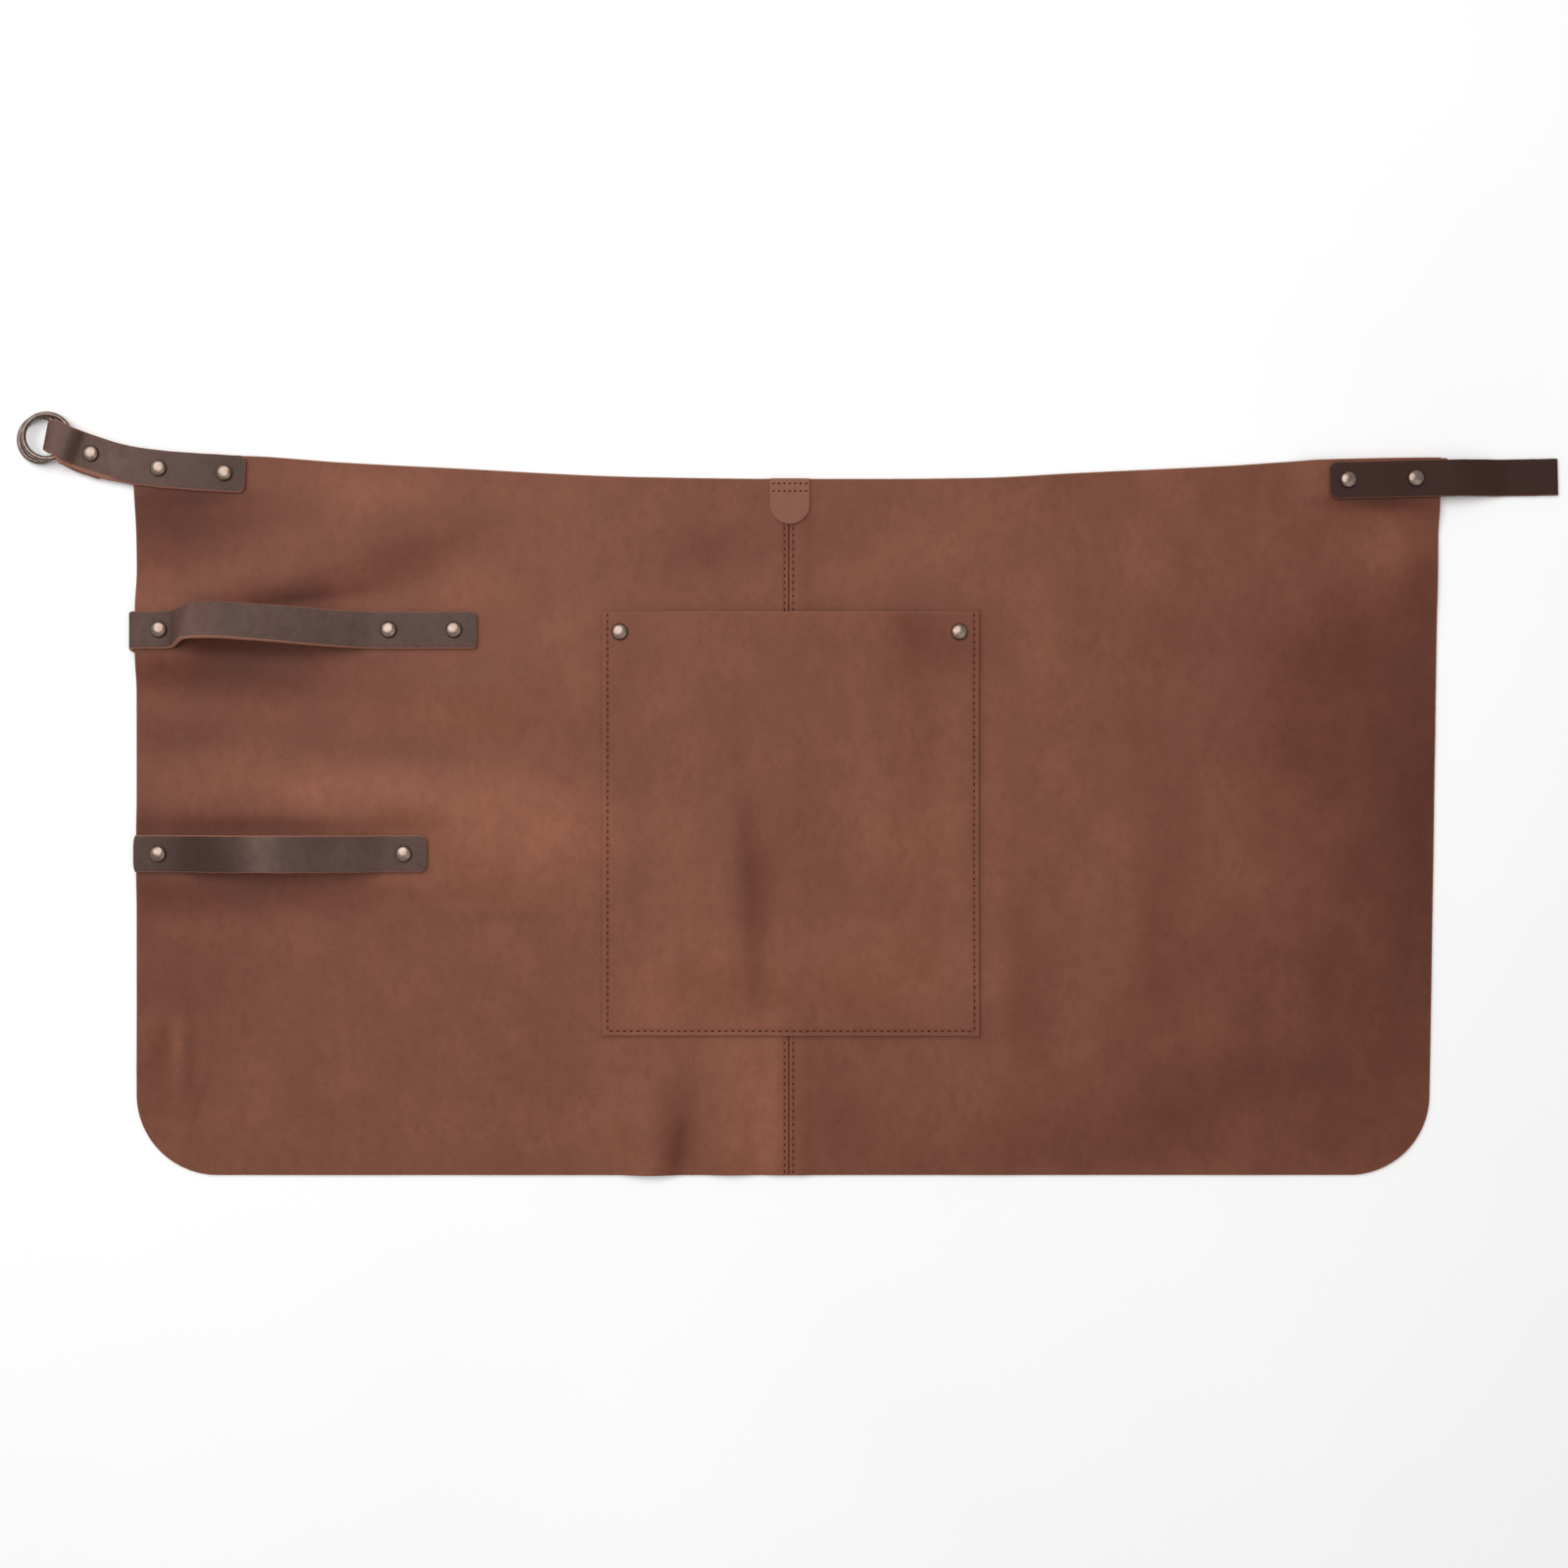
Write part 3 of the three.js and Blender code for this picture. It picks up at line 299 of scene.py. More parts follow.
SEAT_MARGIN = 1
SEAT_HALF = STRAP_WIDTH / 2 + SEAT_MARGIN
CAP_SEAT = CAP_RADIUS + 3
LEFT_OUT = -LEFT_TOP - SEAT_REACH
UPPER_FIRST = -LEFT_WIDTH + UPPER_LOOP_INSET
UPPER_SECOND = UPPER_FIRST + UPPER_LOOP_SPAN
UPPER_END = UPPER_SECOND + UPPER_LOOP_PITCH + LOOP_TAIL
LOWER_FIRST = -LEFT_WIDTH + LOWER_LOOP_INSET
LOWER_SECOND = LOWER_FIRST + LOWER_LOOP_SPAN
LOWER_END = LOWER_SECOND + LOOP_TAIL


def loop_seat(left, right, up, lift, skew=0):
    return left, right, up - SEAT_HALF - skew, up + SEAT_HALF, lift


# Where the body seats over a rivet or a turned-back strap: left, right, low, high and lift
SEATS = [
    (
        LEFT_OUT,
        RING_STRAP_START + 2 * SEAT_MARGIN,
        float(ring_strap_plan(0)[1]) - SEAT_HALF,
        float(waist_height(-1)) + SEAT_REACH,
        CLEAR_OF_BACK_CAP,
    ),
    loop_seat(LEFT_OUT, UPPER_FIRST + RETURN_END + SEAT_MARGIN, UPPER_LOOP_UP, CLEAR_OF_RETURN, WRAP_SKEW),
    loop_seat(UPPER_SECOND - CAP_SEAT, UPPER_END + SEAT_MARGIN, UPPER_LOOP_UP, CLEAR_OF_BACK_CAP),
    loop_seat(LEFT_OUT, LOWER_FIRST + CAP_SEAT, LOWER_LOOP_UP, CLEAR_OF_BACK_CAP),
    loop_seat(LOWER_SECOND - CAP_SEAT, LOWER_END + SEAT_MARGIN, LOWER_LOOP_UP, CLEAR_OF_BACK_CAP),
    *[
        (x - CAP_SEAT, x + CAP_SEAT, y - CAP_SEAT, POCKET_TOP, CLEAR_OF_BACK_CAP)
        for x, y in POCKET_RIVETS
    ],
    (
        WAIST_STRAP_START - 2 * SEAT_MARGIN,
        RIGHT_TOP + SEAT_REACH,
        WAIST_STRAP_UP - SEAT_HALF,
        float(waist_height(1)) + SEAT_REACH,
        CLEAR_OF_RETURN,
    ),
]

# Slight unevenness of the lie: height, width and seed of each ripple
RIPPLES = [(0.5, 52, 3), (0.22, 23, 4), (0.08, 10, 5)]
LATTICE = 400
LATTICE_SHIFT = 150


def soft_noise(x, y, cell, seed):
    """Smooth noise from 0 to 1 over the plan, with features about cell wide."""
    lattice = np.random.default_rng(seed).random((LATTICE, LATTICE))
    u = np.asarray(x, float) / cell + LATTICE_SHIFT
    v = np.asarray(y, float) / cell + LATTICE_SHIFT
    i = np.floor(u).astype(int) % (LATTICE - 1)
    j = np.floor(v).astype(int) % (LATTICE - 1)
    s = smooth(u - np.floor(u))
    t = smooth(v - np.floor(v))
    low = lattice[i, j] * (1 - s) + lattice[i + 1, j] * s
    high = lattice[i, j + 1] * (1 - s) + lattice[i + 1, j + 1] * s
    return low * (1 - t) + high * t


def hump(share):
    return np.where(np.abs(share) < 1, (1 - share * share) ** 2, 0)


def turned_to(heading, dx, dy):
    """How far an offset goes along a heading, and how far to its left."""
    angle = math.radians(heading)
    return dx * math.cos(angle) + dy * math.sin(angle), dy * math.cos(angle) - dx * math.sin(angle)


def fold_height(fold, x, y):
    fold_x, fold_y, heading, long, wide, high = fold
    along, beside = turned_to(heading, x - fold_x, y - fold_y)
    return high * hump(along / (long / 2)) * hump(beside / (wide / 2))


def lie(x, y):
    """Height of the body's underside."""
    raised = np.zeros_like(x, dtype=float)
    free = np.ones_like(x, dtype=float)
    for left, right, low, high, lift in SEATS:
        out_x = np.maximum(np.maximum(left - x, x - right), 0)
        out_y = np.maximum(np.maximum(low - y, y - high), 0)
        near = 1 - smooth(np.hypot(out_x, out_y) / SEAT_FALL)
        raised = np.maximum(raised, lift * near)
        free *= 1 - near
    for fold in FOLDS + SMALL_FOLDS:
        raised = raised + free * fold_height(fold, x, y)
    return raised + free * sum(high * soft_noise(x, y, wide, seed) for high, wide, seed in RIPPLES)


def body_top(x, y):
    turned = smooth((TURNED_END - np.abs(x)) / TURNED_SLOPE)
    return lie(x, y) + SHEET * (1 + TURNED_SHARE * turned)


def pocket_under(x, y):
    from_side = np.minimum(x + POCKET_LEFT, POCKET_RIGHT - x)
    swell_x = smooth((from_side - POCKET_FLAT_SIDE) / POCKET_SWELL)
    swell_y = smooth((y - POCKET_UP - POCKET_FLAT_BOTTOM) / POCKET_SWELL)
    free = POCKET_DEPTH + sum(fold_height(fold, x, y) for fold in POCKET_FOLDS)
    inset = np.minimum(from_side, y - POCKET_UP)
    clear = EDGE_GAP + (GAP - EDGE_GAP) * smooth((inset - EDGE_GAP_WIDTH) / EDGE_GAP_FADE)
    return np.maximum(body_top(x, y), lie(x, y) + SHEET + free * swell_x * swell_y) + clear


# Materials


class Shader:
    """A node material under construction. A socket given as an input is linked, a value is set."""

    def __init__(self, name):
        self.material = bpy.data.materials.new(name)
        self.material.use_nodes = True
        self.tree = self.material.node_tree
        self.surface = self.tree.nodes["Principled BSDF"]

    def node(self, kind, inputs=(), **settings):
        made = self.tree.nodes.new(kind)
        for key, value in settings.items():
            setattr(made, key, value)
        for key, value in dict(inputs).items():
            self.put(made.inputs[key], value)
        return made

    def put(self, socket, value):
        if isinstance(value, bpy.types.NodeSocket):
            self.tree.links.new(value, socket)
        else:
            socket.default_value = value

    def set(self, key, value):
        self.put(self.surface.inputs[key], value)

    def math(self, operation, first, second=0.0, clamp=False):
        made = self.node("ShaderNodeMath", {0: first, 1: second}, operation=operation, use_clamp=clamp)
        return made.outputs[0]

    def mix(self, share, first, second, blend="MIX"):
        made = self.node("ShaderNodeMix", data_type="RGBA", blend_type=blend)
        self.put(made.inputs[0], share)
        self.put(made.inputs[6], first)
        self.put(made.inputs[7], second)
        return made.outputs[2]

    def attribute(self, name):
        return self.node("ShaderNodeAttribute", attribute_name=name).outputs["Fac"]

    def position(self, stretch=(1, 1, 1), turn=0.0):
        coordinates = self.node("ShaderNodeTexCoord").outputs["Object"]
        inputs = {"Vector": coordinates, "Scale": stretch, "Rotation": (0, 0, turn)}
        return self.node("ShaderNodeMapping", inputs).outputs[0]

    def noise(self, scale, detail=3.0, roughness=0.5, where=None, distortion=0.0):
        inputs = {"Scale": scale, "Detail": detail, "Roughness": roughness, "Distortion": distortion}
        made = self.node("ShaderNodeTexNoise", inputs)
        self.put(made.inputs["Vector"], where or self.position())
        return made.outputs[0]

    def cells(self, scale):
        made = self.node("ShaderNodeTexVoronoi", {"Scale": scale}, feature="SMOOTH_F1")
        made.inputs["Smoothness"].default_value = 0.6
        self.put(made.inputs["Vector"], self.position())
        return made.outputs["Distance"]

    def ramp(self, value, low, high, to_low=0.0, to_high=1.0):
        inputs = {"Value": value, "From Min": low, "From Max": high, "To Min": to_low, "To Max": to_high}
        return self.node("ShaderNodeMapRange", inputs).outputs[0]

    def bump(self, height, distance, strength=1.0, under=None):
        made = self.node("ShaderNodeBump", {"Height": height, "Distance": distance, "Strength": strength})
        if under is not None:
            self.put(made.inputs["Normal"], under)
        return made.outputs[0]


def colour(red, green, blue):
    """A display colour from 0 to 255 as a linear one."""

    def linear(value):
        share = value / 255
        return share / 12.92 if share <= 0.04045 else ((share + 0.055) / 1.055) ** 2.4

    return (linear(red), linear(green), linear(blue), 1.0)


# What deepens the leather's colour where its tone and painted shade make it dark, and the painted shade
# that darkens a rivet's colour at its rim
REDDEN = (0.98, 0.78, 0.7, 1.0)
RIM_SHADE = (0.3, 0.22, 0.19, 1.0)


def leather(name, shades, roughness=0.6, grain=1.0, mottle=1.0):
    """Oiled leather: clouded colour, fine grain, a paler cut edge and a napped back.

    shades are its base, its dark and light places, its cut edge and its back.
    """
    base, dark, light, edge, flesh = (colour(*shade) for shade in shades)
    s = Shader(name)
    clouds = s.noise(9, 3, 0.5)
    blots = s.noise(34, 3, 0.5, distortion=0.3)
    flecks = s.noise(170, 3, 0.65, where=s.position((1, 0.7, 1), 0.5))
    specks = s.noise(800, 2, 0.7, where=s.position((1, 2.2, 1), -0.2))
    shade = s.mix(s.ramp(clouds, 0.35, 0.7, 0, 0.6 * mottle), base, dark)
    shade = s.mix(s.ramp(blots, 0.4, 0.75, 0, 0.75 * mottle), shade, light)
    shade = s.mix(s.ramp(flecks, 0.42, 0.75, 0, 0.68 * mottle), shade, dark)
    shade = s.mix(s.ramp(specks, 0.45, 0.8, 0, 0.7), shade, light)
    # tone_and_shade holds the leather's own tone with painted light and shade: it brightens or darkens the
    # colour and reddens it where dark
    tone_and_shade = s.attribute("tone_and_shade")
    deeper = s.math("MULTIPLY", tone_and_shade, -2.2, clamp=True)
    shade = s.mix(deeper, shade, s.mix(1.0, shade, REDDEN, "MULTIPLY"))
    lit = s.node("ShaderNodeHueSaturation", {"Color": shade, "Value": s.math("ADD", tone_and_shade, 1.0)})
    shade = lit.outputs[0]
    napped = s.attribute("flesh")
    fluff = s.mix(s.noise(900, 3, 0.7), flesh, light)
    shade = s.mix(napped, shade, fluff)
    cut = s.attribute("edge")
    fibres = s.noise(1400, 2, 0.8, where=s.position((1, 1, 3)))
    raw = s.mix(s.ramp(fibres, 0.35, 0.8, 0, 0.6), edge, base)
    shade = s.mix(s.ramp(cut, 0.35, 0.85), shade, raw)
    s.set("Base Color", shade)
    rough = s.ramp(blots, 0.3, 0.7, roughness - 0.05, roughness + 0.08)
    rough = s.math("ADD", rough, s.math("MULTIPLY", s.math("MAXIMUM", cut, napped), 0.25), clamp=True)
    s.set("Roughness", rough)
    s.set("Specular IOR Level", 0.22)
    pebbles = s.bump(s.cells(1050), 0.00012 * grain, 0.5)
    creases = s.noise(260, 4, 0.6, where=s.position((1, 1.5, 1), 0.3))
    s.set("Normal", s.bump(creases, 0.0003 * grain, 0.45, pebbles))
    return s.material


def metal(name, shade, tarnish, roughness, shine):
    s = Shader(name)
    patches = s.noise(420, 3, 0.6)
    worn = s.mix(s.ramp(patches, 0.4, 0.75), shade, tarnish)
    # Painted shade darkens the cap's colour towards its rim
    rim_shaded = s.mix(1.0, worn, RIM_SHADE, "MULTIPLY")
    s.set("Base Color", s.mix(s.attribute("rim"), worn, rim_shaded))
    s.set("Metallic", shine)
    rough = s.ramp(s.noise(900, 2, 0.6), 0.3, 0.7, roughness * 0.8, roughness * 1.4)
    s.set("Roughness", rough)
    hammered = s.bump(s.noise(340, 2, 0.5), 0.00012, 0.5)
    s.set("Normal", s.bump(s.noise(1500, 2, 0.5), 0.00003, 0.4, hammered))
    return s.material


def thread_material(name, shade, tip):
    s = Shader(name)
    ply = s.noise(2600, 2, 0.6, where=s.position((1, 1, 1), 0.8))
    s.set("Base Color", s.mix(s.ramp(ply, 0.35, 0.7), shade, tip))
    s.set("Roughness", 0.85)
    s.set("Specular IOR Level", 0.1)
    s.set("Normal", s.bump(ply, 0.0002, 0.6))
    return s.material


BODY = leather(
    "apron_leather",
    [(115, 68, 49), (102, 57, 40), (125, 77, 60), (150, 104, 84), (140, 98, 78)],
)
SUEDE = leather(
    "tab_leather",
    [(133, 88, 73), (122, 79, 64), (143, 100, 84), (146, 103, 86), (140, 98, 78)],
    roughness=0.85, grain=1.8,
)
DARK = leather(
    "loop_leather",
    [(80, 57, 50), (66, 44, 38), (92, 71, 63), (160, 108, 89), (112, 76, 62)],
    roughness=0.55, grain=1.3,
)
BLACKISH = leather(
    "waist_strap_leather",
    [(52, 29, 23), (44, 23, 19), (60, 34, 28), (126, 84, 70), (104, 70, 58)],
    roughness=0.62, grain=0.8, mottle=0.6,
)
RIVET = metal("rivet_metal", colour(146, 129, 118), colour(122, 95, 82), 0.22, 0.75)
RING = metal("ring_metal", colour(122, 106, 98), colour(82, 62, 55), 0.18, 0.92)
THREAD = thread_material("thread", colour(62, 24, 18), colour(84, 36, 28))

# Meshes


def add_object(name, data):
    made = bpy.data.objects.new(name, data)
    bpy.context.scene.collection.objects.link(made)
    return made


def add_mesh(name, points, faces, material, attributes=()):
    """A smooth closed mesh from plan millimetres, with its faces turned outwards."""
    mesh = bpy.data.meshes.new(name)
    mesh.from_pydata(place(points).tolist(), [], [list(face) for face in faces])
    for key, values in dict(attributes).items():
        layer = mesh.attributes.new(key, "FLOAT", "POINT")
        layer.data.foreach_set("value", np.asarray(values, np.float32))
    made = bmesh.new()
    made.from_mesh(mesh)
    bmesh.ops.recalc_face_normals(made, faces=made.faces)
    made.to_mesh(mesh)
    made.free()
    mesh.shade_smooth()
    mesh.materials.append(material)
    return add_object(name, mesh)


def ride_as(piece, slot, *nodes):
    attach(piece, "root")
    if nodes:
        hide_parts(*nodes)
    return piece


def strip(first, second):
    """Quads between two rows of vertex numbers."""
    return np.stack([first[:-1], first[1:], second[1:], second[:-1]], axis=1)


def tube(rows, sides):
    """Vertex numbers of a tube's rings, each closed on itself."""
    number = np.arange(rows * sides).reshape(rows, sides)
    return np.concatenate([number, number[:, :1]], axis=1)


def skin(closed):
    """Quads between the neighbouring rings of a tube."""
    return [face for first, second in zip(closed, closed[1:]) for face in strip(first, second).tolist()]


def round_drop(share):
    """How far a quarter round lies below its top, from 1 at its foot to 0."""
    return 1 - np.sqrt(1 - (1 - np.clip(share, 0, 1)) ** 2)


def near_line(distance, width):
    """1 on a line, fading over about width beside it."""
    return np.exp(-((distance / width) ** 2))


RIM_ROUND = 0.95
UNDER_ROUND = 0.3
THINNEST = 0.05
CUT_START = 0.15
CUT_FADE = 0.7


def sheet_mesh(name, x, y, under, over, inset, radius, material, shade=0):
    """A sheet over a grid of plan points: inset is each point's distance from the sheet's edge."""
    drop = radius * round_drop(inset / radius) * RIM_ROUND
    top = over - drop
    bottom = np.minimum(under + UNDER_ROUND * drop, top - THINNEST)
    rows, columns = x.shape
    points = np.concatenate([
        np.stack([x, y, top], axis=-1).reshape(-1, 3),
        np.stack([x, y, bottom], axis=-1).reshape(-1, 3),
    ])
    number = np.arange(rows * columns).reshape(rows, columns)
    upper = np.concatenate([strip(number[r], number[r + 1]) for r in range(rows - 1)])
    lower = upper[:, ::-1] + rows * columns
    rim = np.concatenate([number[0, :], number[1:, -1], number[-1, -2::-1], number[-2::-1, 0]])
    walls = strip(rim, rim + rows * columns)
    cut = 1 - smooth((inset - CUT_START) / CUT_FADE)
    attributes = {
        "edge": np.concatenate([cut.ravel(), cut.ravel()]),
        "flesh": np.concatenate([np.zeros(x.size), np.ones(x.size)]),
        "tone_and_shade": np.tile((tone_and_shade_at(x, y) + shade).ravel(), 2),
    }
    return add_mesh(name, points, np.concatenate([upper, lower, walls]), material, attributes)


# Broad light and dark places of the leather: partly its own tone, partly painted light and shade on its
# folds, painted shadows below the straps and loops, and painted shade towards the right edge. Columns: x
# and y in the picture, heading, long, wide, change
TONE_AND_SHADE_PATCHES = [
    (180, 528, 0, 180, 80, -0.4),
    (200, 506, 1, 130, 24, -0.26),
    (170, 570, 0, 90, 60, -0.1),
    (370, 496, -3, 190, 50, 0.3),
    (235, 578, 24, 220, 34, 0.07),
    (370, 580, 18, 230, 40, -0.2),
    (300, 606, 4, 170, 22, -0.2),
    (540, 630, 78, 360, 190, 0.14),
    (220, 688, -3, 300, 60, -0.42),
    (250, 662, -4, 220, 16, -0.3),
    (300, 612, 8, 150, 14, -0.3),
    (410, 730, 0, 170, 60, 0.14),
    (175, 752, 0, 170, 60, -0.24),
    (440, 765, -3, 200, 30, -0.08),
    (380, 808, -3, 480, 70, 0.3),
    (560, 862, -3, 120, 100, 0.12),
    (460, 640, 0, 60, 60, 0.06),
    (560, 850, -4, 250, 130, 0.2),
    (270, 840, 0, 330, 16, -0.2),
    (190, 852, 0, 240, 80, -0.34),
    (470, 610, 0, 90, 60, 0.1),
    (340, 800, 0, 200, 60, 0.12),
    (475, 868, 0, 90, 70, 0.14),
    (250, 915, 0, 330, 46, -0.26),
    (440, 900, 0, 160, 50, 0.12),
    (520, 934, 0, 260, 14, -0.08),
    (180, 1000, 90, 220, 150, -0.12),
    (150, 870, 90, 160, 40, -0.12),
    (155, 1130, 90, 180, 90, -0.12),
    (181, 1068, 88, 70, 12, 0.3),
    (150, 1050, 90, 40, 18, 0.14),
    (196, 1090, 92, 110, 14, -0.14),
    (206, 1118, 72, 70, 8, -0.12),
    (690, 1165, 84, 120, 34, -0.36),
    (737, 562, 10, 130, 60, -0.1),
    (765, 1135, 92, 190, 70, 0.32),
    (787, 1120, 90, 200, 34, 0.12),
    (850, 1130, 90, 200, 70, -0.12),
    (650, 1050, 90, 90, 90, 0.12),
    (630, 1150, 90, 150, 110, 0.14),
    (765, 912, 94, 250, 26, -0.25),
    (731, 963, 90, 130, 40, 0.14),
    (823, 814, 90, 160, 30, -0.1),
    (966, 825, 90, 220, 26, 0.1),
    (789, 974, 90, 100, 24, 0.1),
    (954, 917, 90, 70, 30, -0.1),
    (880, 760, 96, 160, 26, 0.08),
    (650, 900, 90, 120, 26, -0.08),
    (940, 655, 0, 90, 80, -0.18),
    (700, 930, 90, 110, 50, 0.12),
    (1065, 1030, 90, 150, 50, -0.1),
    (900, 850, 90, 90, 90, 0.08),
    (940, 850, 90, 420, 110, 0.1),
    (690, 1010, 0, 170, 130, 0.14),
    (880, 990, 0, 190, 110, 0.2),
    (690, 700, 90, 200, 60, 0.08),
    (590, 690, 90, 90, 60, 0.14),
    (650, 812, 90, 80, 70, -0.13),
    (1014, 830, 90, 500, 26, 0.08),
    (915, 570, 24, 260, 80, 0.18),
    (700, 565, 10, 180, 50, -0.06),
    (1075, 515, 80, 120, 110, -0.12),
    (1175, 530, 75, 200, 60, 0.1),
    (1140, 870, 92, 190, 44, 0.1),
    (1148, 960, 80, 70, 40, 0.08),
    (1060, 700, 90, 330, 80, 0.12),
    (1420, 560, 8, 140, 44, 0.1),
    (1370, 670, 10, 170, 90, -0.12),
    (1240, 650, 10, 220, 170, -0.12),
    (1465, 760, 90, 560, 130, -0.24),
    (1410, 950, 90, 800, 240, -0.28),
    (1310, 750, 0, 220, 80, -0.15),
    (1250, 1010, 90, 150, 190, -0.15),
    (1410, 514, -1, 130, 17, -0.5),
    (1420, 560, 0, 60, 80, 0.12),
    (1180, 900, 90, 260, 90, -0.14),
    (1330, 1050, 90, 90, 90, 0.1),
    (1240, 1050, 90, 90, 60, 0.16),
    (1200, 1125, 18, 560, 130, -0.22),
    (1180, 1172, 0, 230, 60, -0.12),
    (910, 1120, 90, 200, 220, -0.05),
]
PICTURE_SCALE = 0.5665
PICTURE_SEAM = 805
PICTURE_HEM = 1198.5
TONE_FALL = 1.2
# Clouding of the leather: strength, squeeze along y, width and seed
CLOUDS = [(0.06, 1, 60, 11), (0.07, 1, 28, 12), (0.06, 0.6, 11, 13)]


# The leather's own clouded tone plus the painted light and shade of the patches above
def tone_and_shade_at(x, y):
    tone_and_shade = 0
    for strong, squeeze, wide, seed in CLOUDS:
        tone_and_shade = tone_and_shade + strong * (soft_noise(x, y * squeeze, wide, seed) - 0.5)
    for px, py, heading, long, wide, change in TONE_AND_SHADE_PATCHES:
        dx = x - (px - PICTURE_SEAM) * PICTURE_SCALE
        dy = y - (PICTURE_HEM - py) * PICTURE_SCALE
        along, beside = turned_to(heading, dx, dy)
        along = along / (long * PICTURE_SCALE / 2)
        beside = beside / (wide * PICTURE_SCALE / 2)
        tone_and_shade = tone_and_shade + change * np.exp(-TONE_FALL * (along**2 + beside**2))
    return tone_and_shade


RIM_STEPS = [0, 0.1, 0.25, 0.45, 0.7, 1.1, 1.8, 3, 5]
CELL = 2.6


def spaced(low, high, keys=()):
    """Lines from low to high, fine at both ends and through every key."""
    fine = [low + step for step in RIM_STEPS] + [high - step for step in RIM_STEPS]
    fine += list(keys)
    fine = sorted(set(round(line, 4) for line in fine if low <= line <= high))
    lines = [fine[0]]
    for stop in fine[1:]:
        cells = max(1, math.ceil((stop - lines[-1]) / CELL))
        lines += list(np.linspace(lines[-1], stop, cells + 1)[1:])
    return np.array(lines)


def stretched(line, nominal, real, fixed):
    """Moves a line so that nominal reaches real: nothing moves below fixed, and the rim keeps its width."""
    rim = RIM_STEPS[-1]
    share = (line - fixed) / (nominal - rim - fixed)
    middle = fixed + share * (real - rim - fixed)
    return np.where(line <= fixed, line, np.where(line >= nominal - rim, line - nominal + real, middle))


SEAM_KEYS = [1.4, 1.8, 2.2, SEAM_ROW, 2.8, 3.2, 3.8, 8, 9, 10, 11, 12, 13]
SEAM_SINK = 0.28
SEAM_SINK_WIDTH = 0.75
SEAM_LIP_LIGHT = 0.16
SEAM_DARK = 0.2
SEAM_ROW_SHADE = 0.12
ROW_WIDTH = 0.8
BESIDE_POCKET = [0, 1, 2, 3.2]
ABOVE_POCKET = 1.5
BODY_RIM = 0.6
STILL_X = 100
STILL_Y = 200


def seam_sink(x):
    """How far the two rows of stitches pull the leather down beside the seam."""
    return SEAM_SINK * near_line(np.abs(x) - SEAM_ROW, SEAM_SINK_WIDTH)


def seam_top(x, y):
    return body_top(x, y) - seam_sink(x)


def seam_shade(x):
    """Painted shade in the line between the halves with a painted highlight on its lip, and painted shade
    on the leather along its stitches.
    """
    line = SEAM_LIP_LIGHT * near_line(x - SEAM_ROLL, 0.5) - SEAM_DARK * near_line(x, 0.6)
    return line - SEAM_ROW_SHADE * near_line(np.abs(x) - SEAM_ROW, ROW_WIDTH)


SHADE_SIDE = 0.28
LIT_SIDE = 0.08
SHADE_WIDTH = 1.9
SHADE_UNDER = 4


def pocket_shade(x, y):
    """Painted shadow that the pocket's edge casts on the leather beside it, stronger beside its right and
    lower edges.
    """
    out_x = np.maximum(-POCKET_LEFT - x, x - POCKET_RIGHT)
    out_y = np.maximum(POCKET_UP - y, y - POCKET_TOP)
    outside = np.hypot(np.maximum(out_x, 0), np.maximum(out_y, 0))
    strong = np.where((x > POCKET_RIGHT) | (y < POCKET_UP), SHADE_SIDE, LIT_SIDE)
    near_edge = (out_x > -SHADE_UNDER) | (out_y > -SHADE_UNDER)
    return -strong * np.where(near_edge, near_line(outside, SHADE_WIDTH), 0)


def body_half(name, node, side):
    width, pocket_edge = (LEFT_WIDTH, POCKET_LEFT) if side < 0 else (RIGHT_WIDTH, POCKET_RIGHT)
    keys = [SEAM_HALF + key for key in SEAM_KEYS] + [pocket_edge + beside for beside in BESIDE_POCKET]
    heights = [POCKET_UP - beside for beside in BESIDE_POCKET] + [POCKET_TOP, POCKET_TOP + ABOVE_POCKET]
    out, rise = np.meshgrid(spaced(SEAM_HALF, width, keys), spaced(0, BODY_HEIGHT, heights))
    below = np.clip(HEM_CORNER - rise, 0, HEM_CORNER)
    edge = width - HEM_CORNER + np.sqrt(HEM_CORNER**2 - below**2)
    if side < 0:
        flare = np.clip((rise - BODY_HEIGHT + LEFT_FLARE_HEIGHT) / LEFT_FLARE_HEIGHT, 0, 1)
        edge = edge + LEFT_FLARE * flare**2
    else:
        edge = edge + RIGHT_FLARE * np.clip((rise - HEM_CORNER) / (BODY_HEIGHT - HEM_CORNER), 0, 1)
    x = side * stretched(out, width, edge, STILL_X)
    waist = waist_at(x)
    y = stretched(rise, BODY_HEIGHT, waist, STILL_Y)
    from_side = np.minimum(edge - np.abs(x), np.minimum(y, waist - y))
    in_corner = (np.abs(x) > width - HEM_CORNER) & (y < HEM_CORNER)
    from_corner = HEM_CORNER - np.hypot(np.abs(x) - width + HEM_CORNER, HEM_CORNER - y)
    from_side = np.where(in_corner, np.minimum(from_side, from_corner), from_side)
    from_side = np.maximum(from_side, 0)
    over = seam_top(x, y) - SEAM_GROOVE * round_drop((np.abs(x) - SEAM_HALF) / SEAM_ROLL)
    if side < 0:
        x, y, over, from_side = x[:, ::-1], y[:, ::-1], over[:, ::-1], from_side[:, ::-1]
    shade = seam_shade(x) + pocket_shade(x, y)
    piece = sheet_mesh(name, x, y, lie(x, y), over, from_side, BODY_RIM, BODY, shade)
    return ride_as(piece, "body_leather", node)


POCKET_KEYS = [POCKET_ROW + beside for beside in (-0.7, -0.35, 0, 0.4, 0.9)]
POCKET_RIM = 0.85
POCKET_SINK = 0.25
POCKET_ROW_SHADE = 0.13


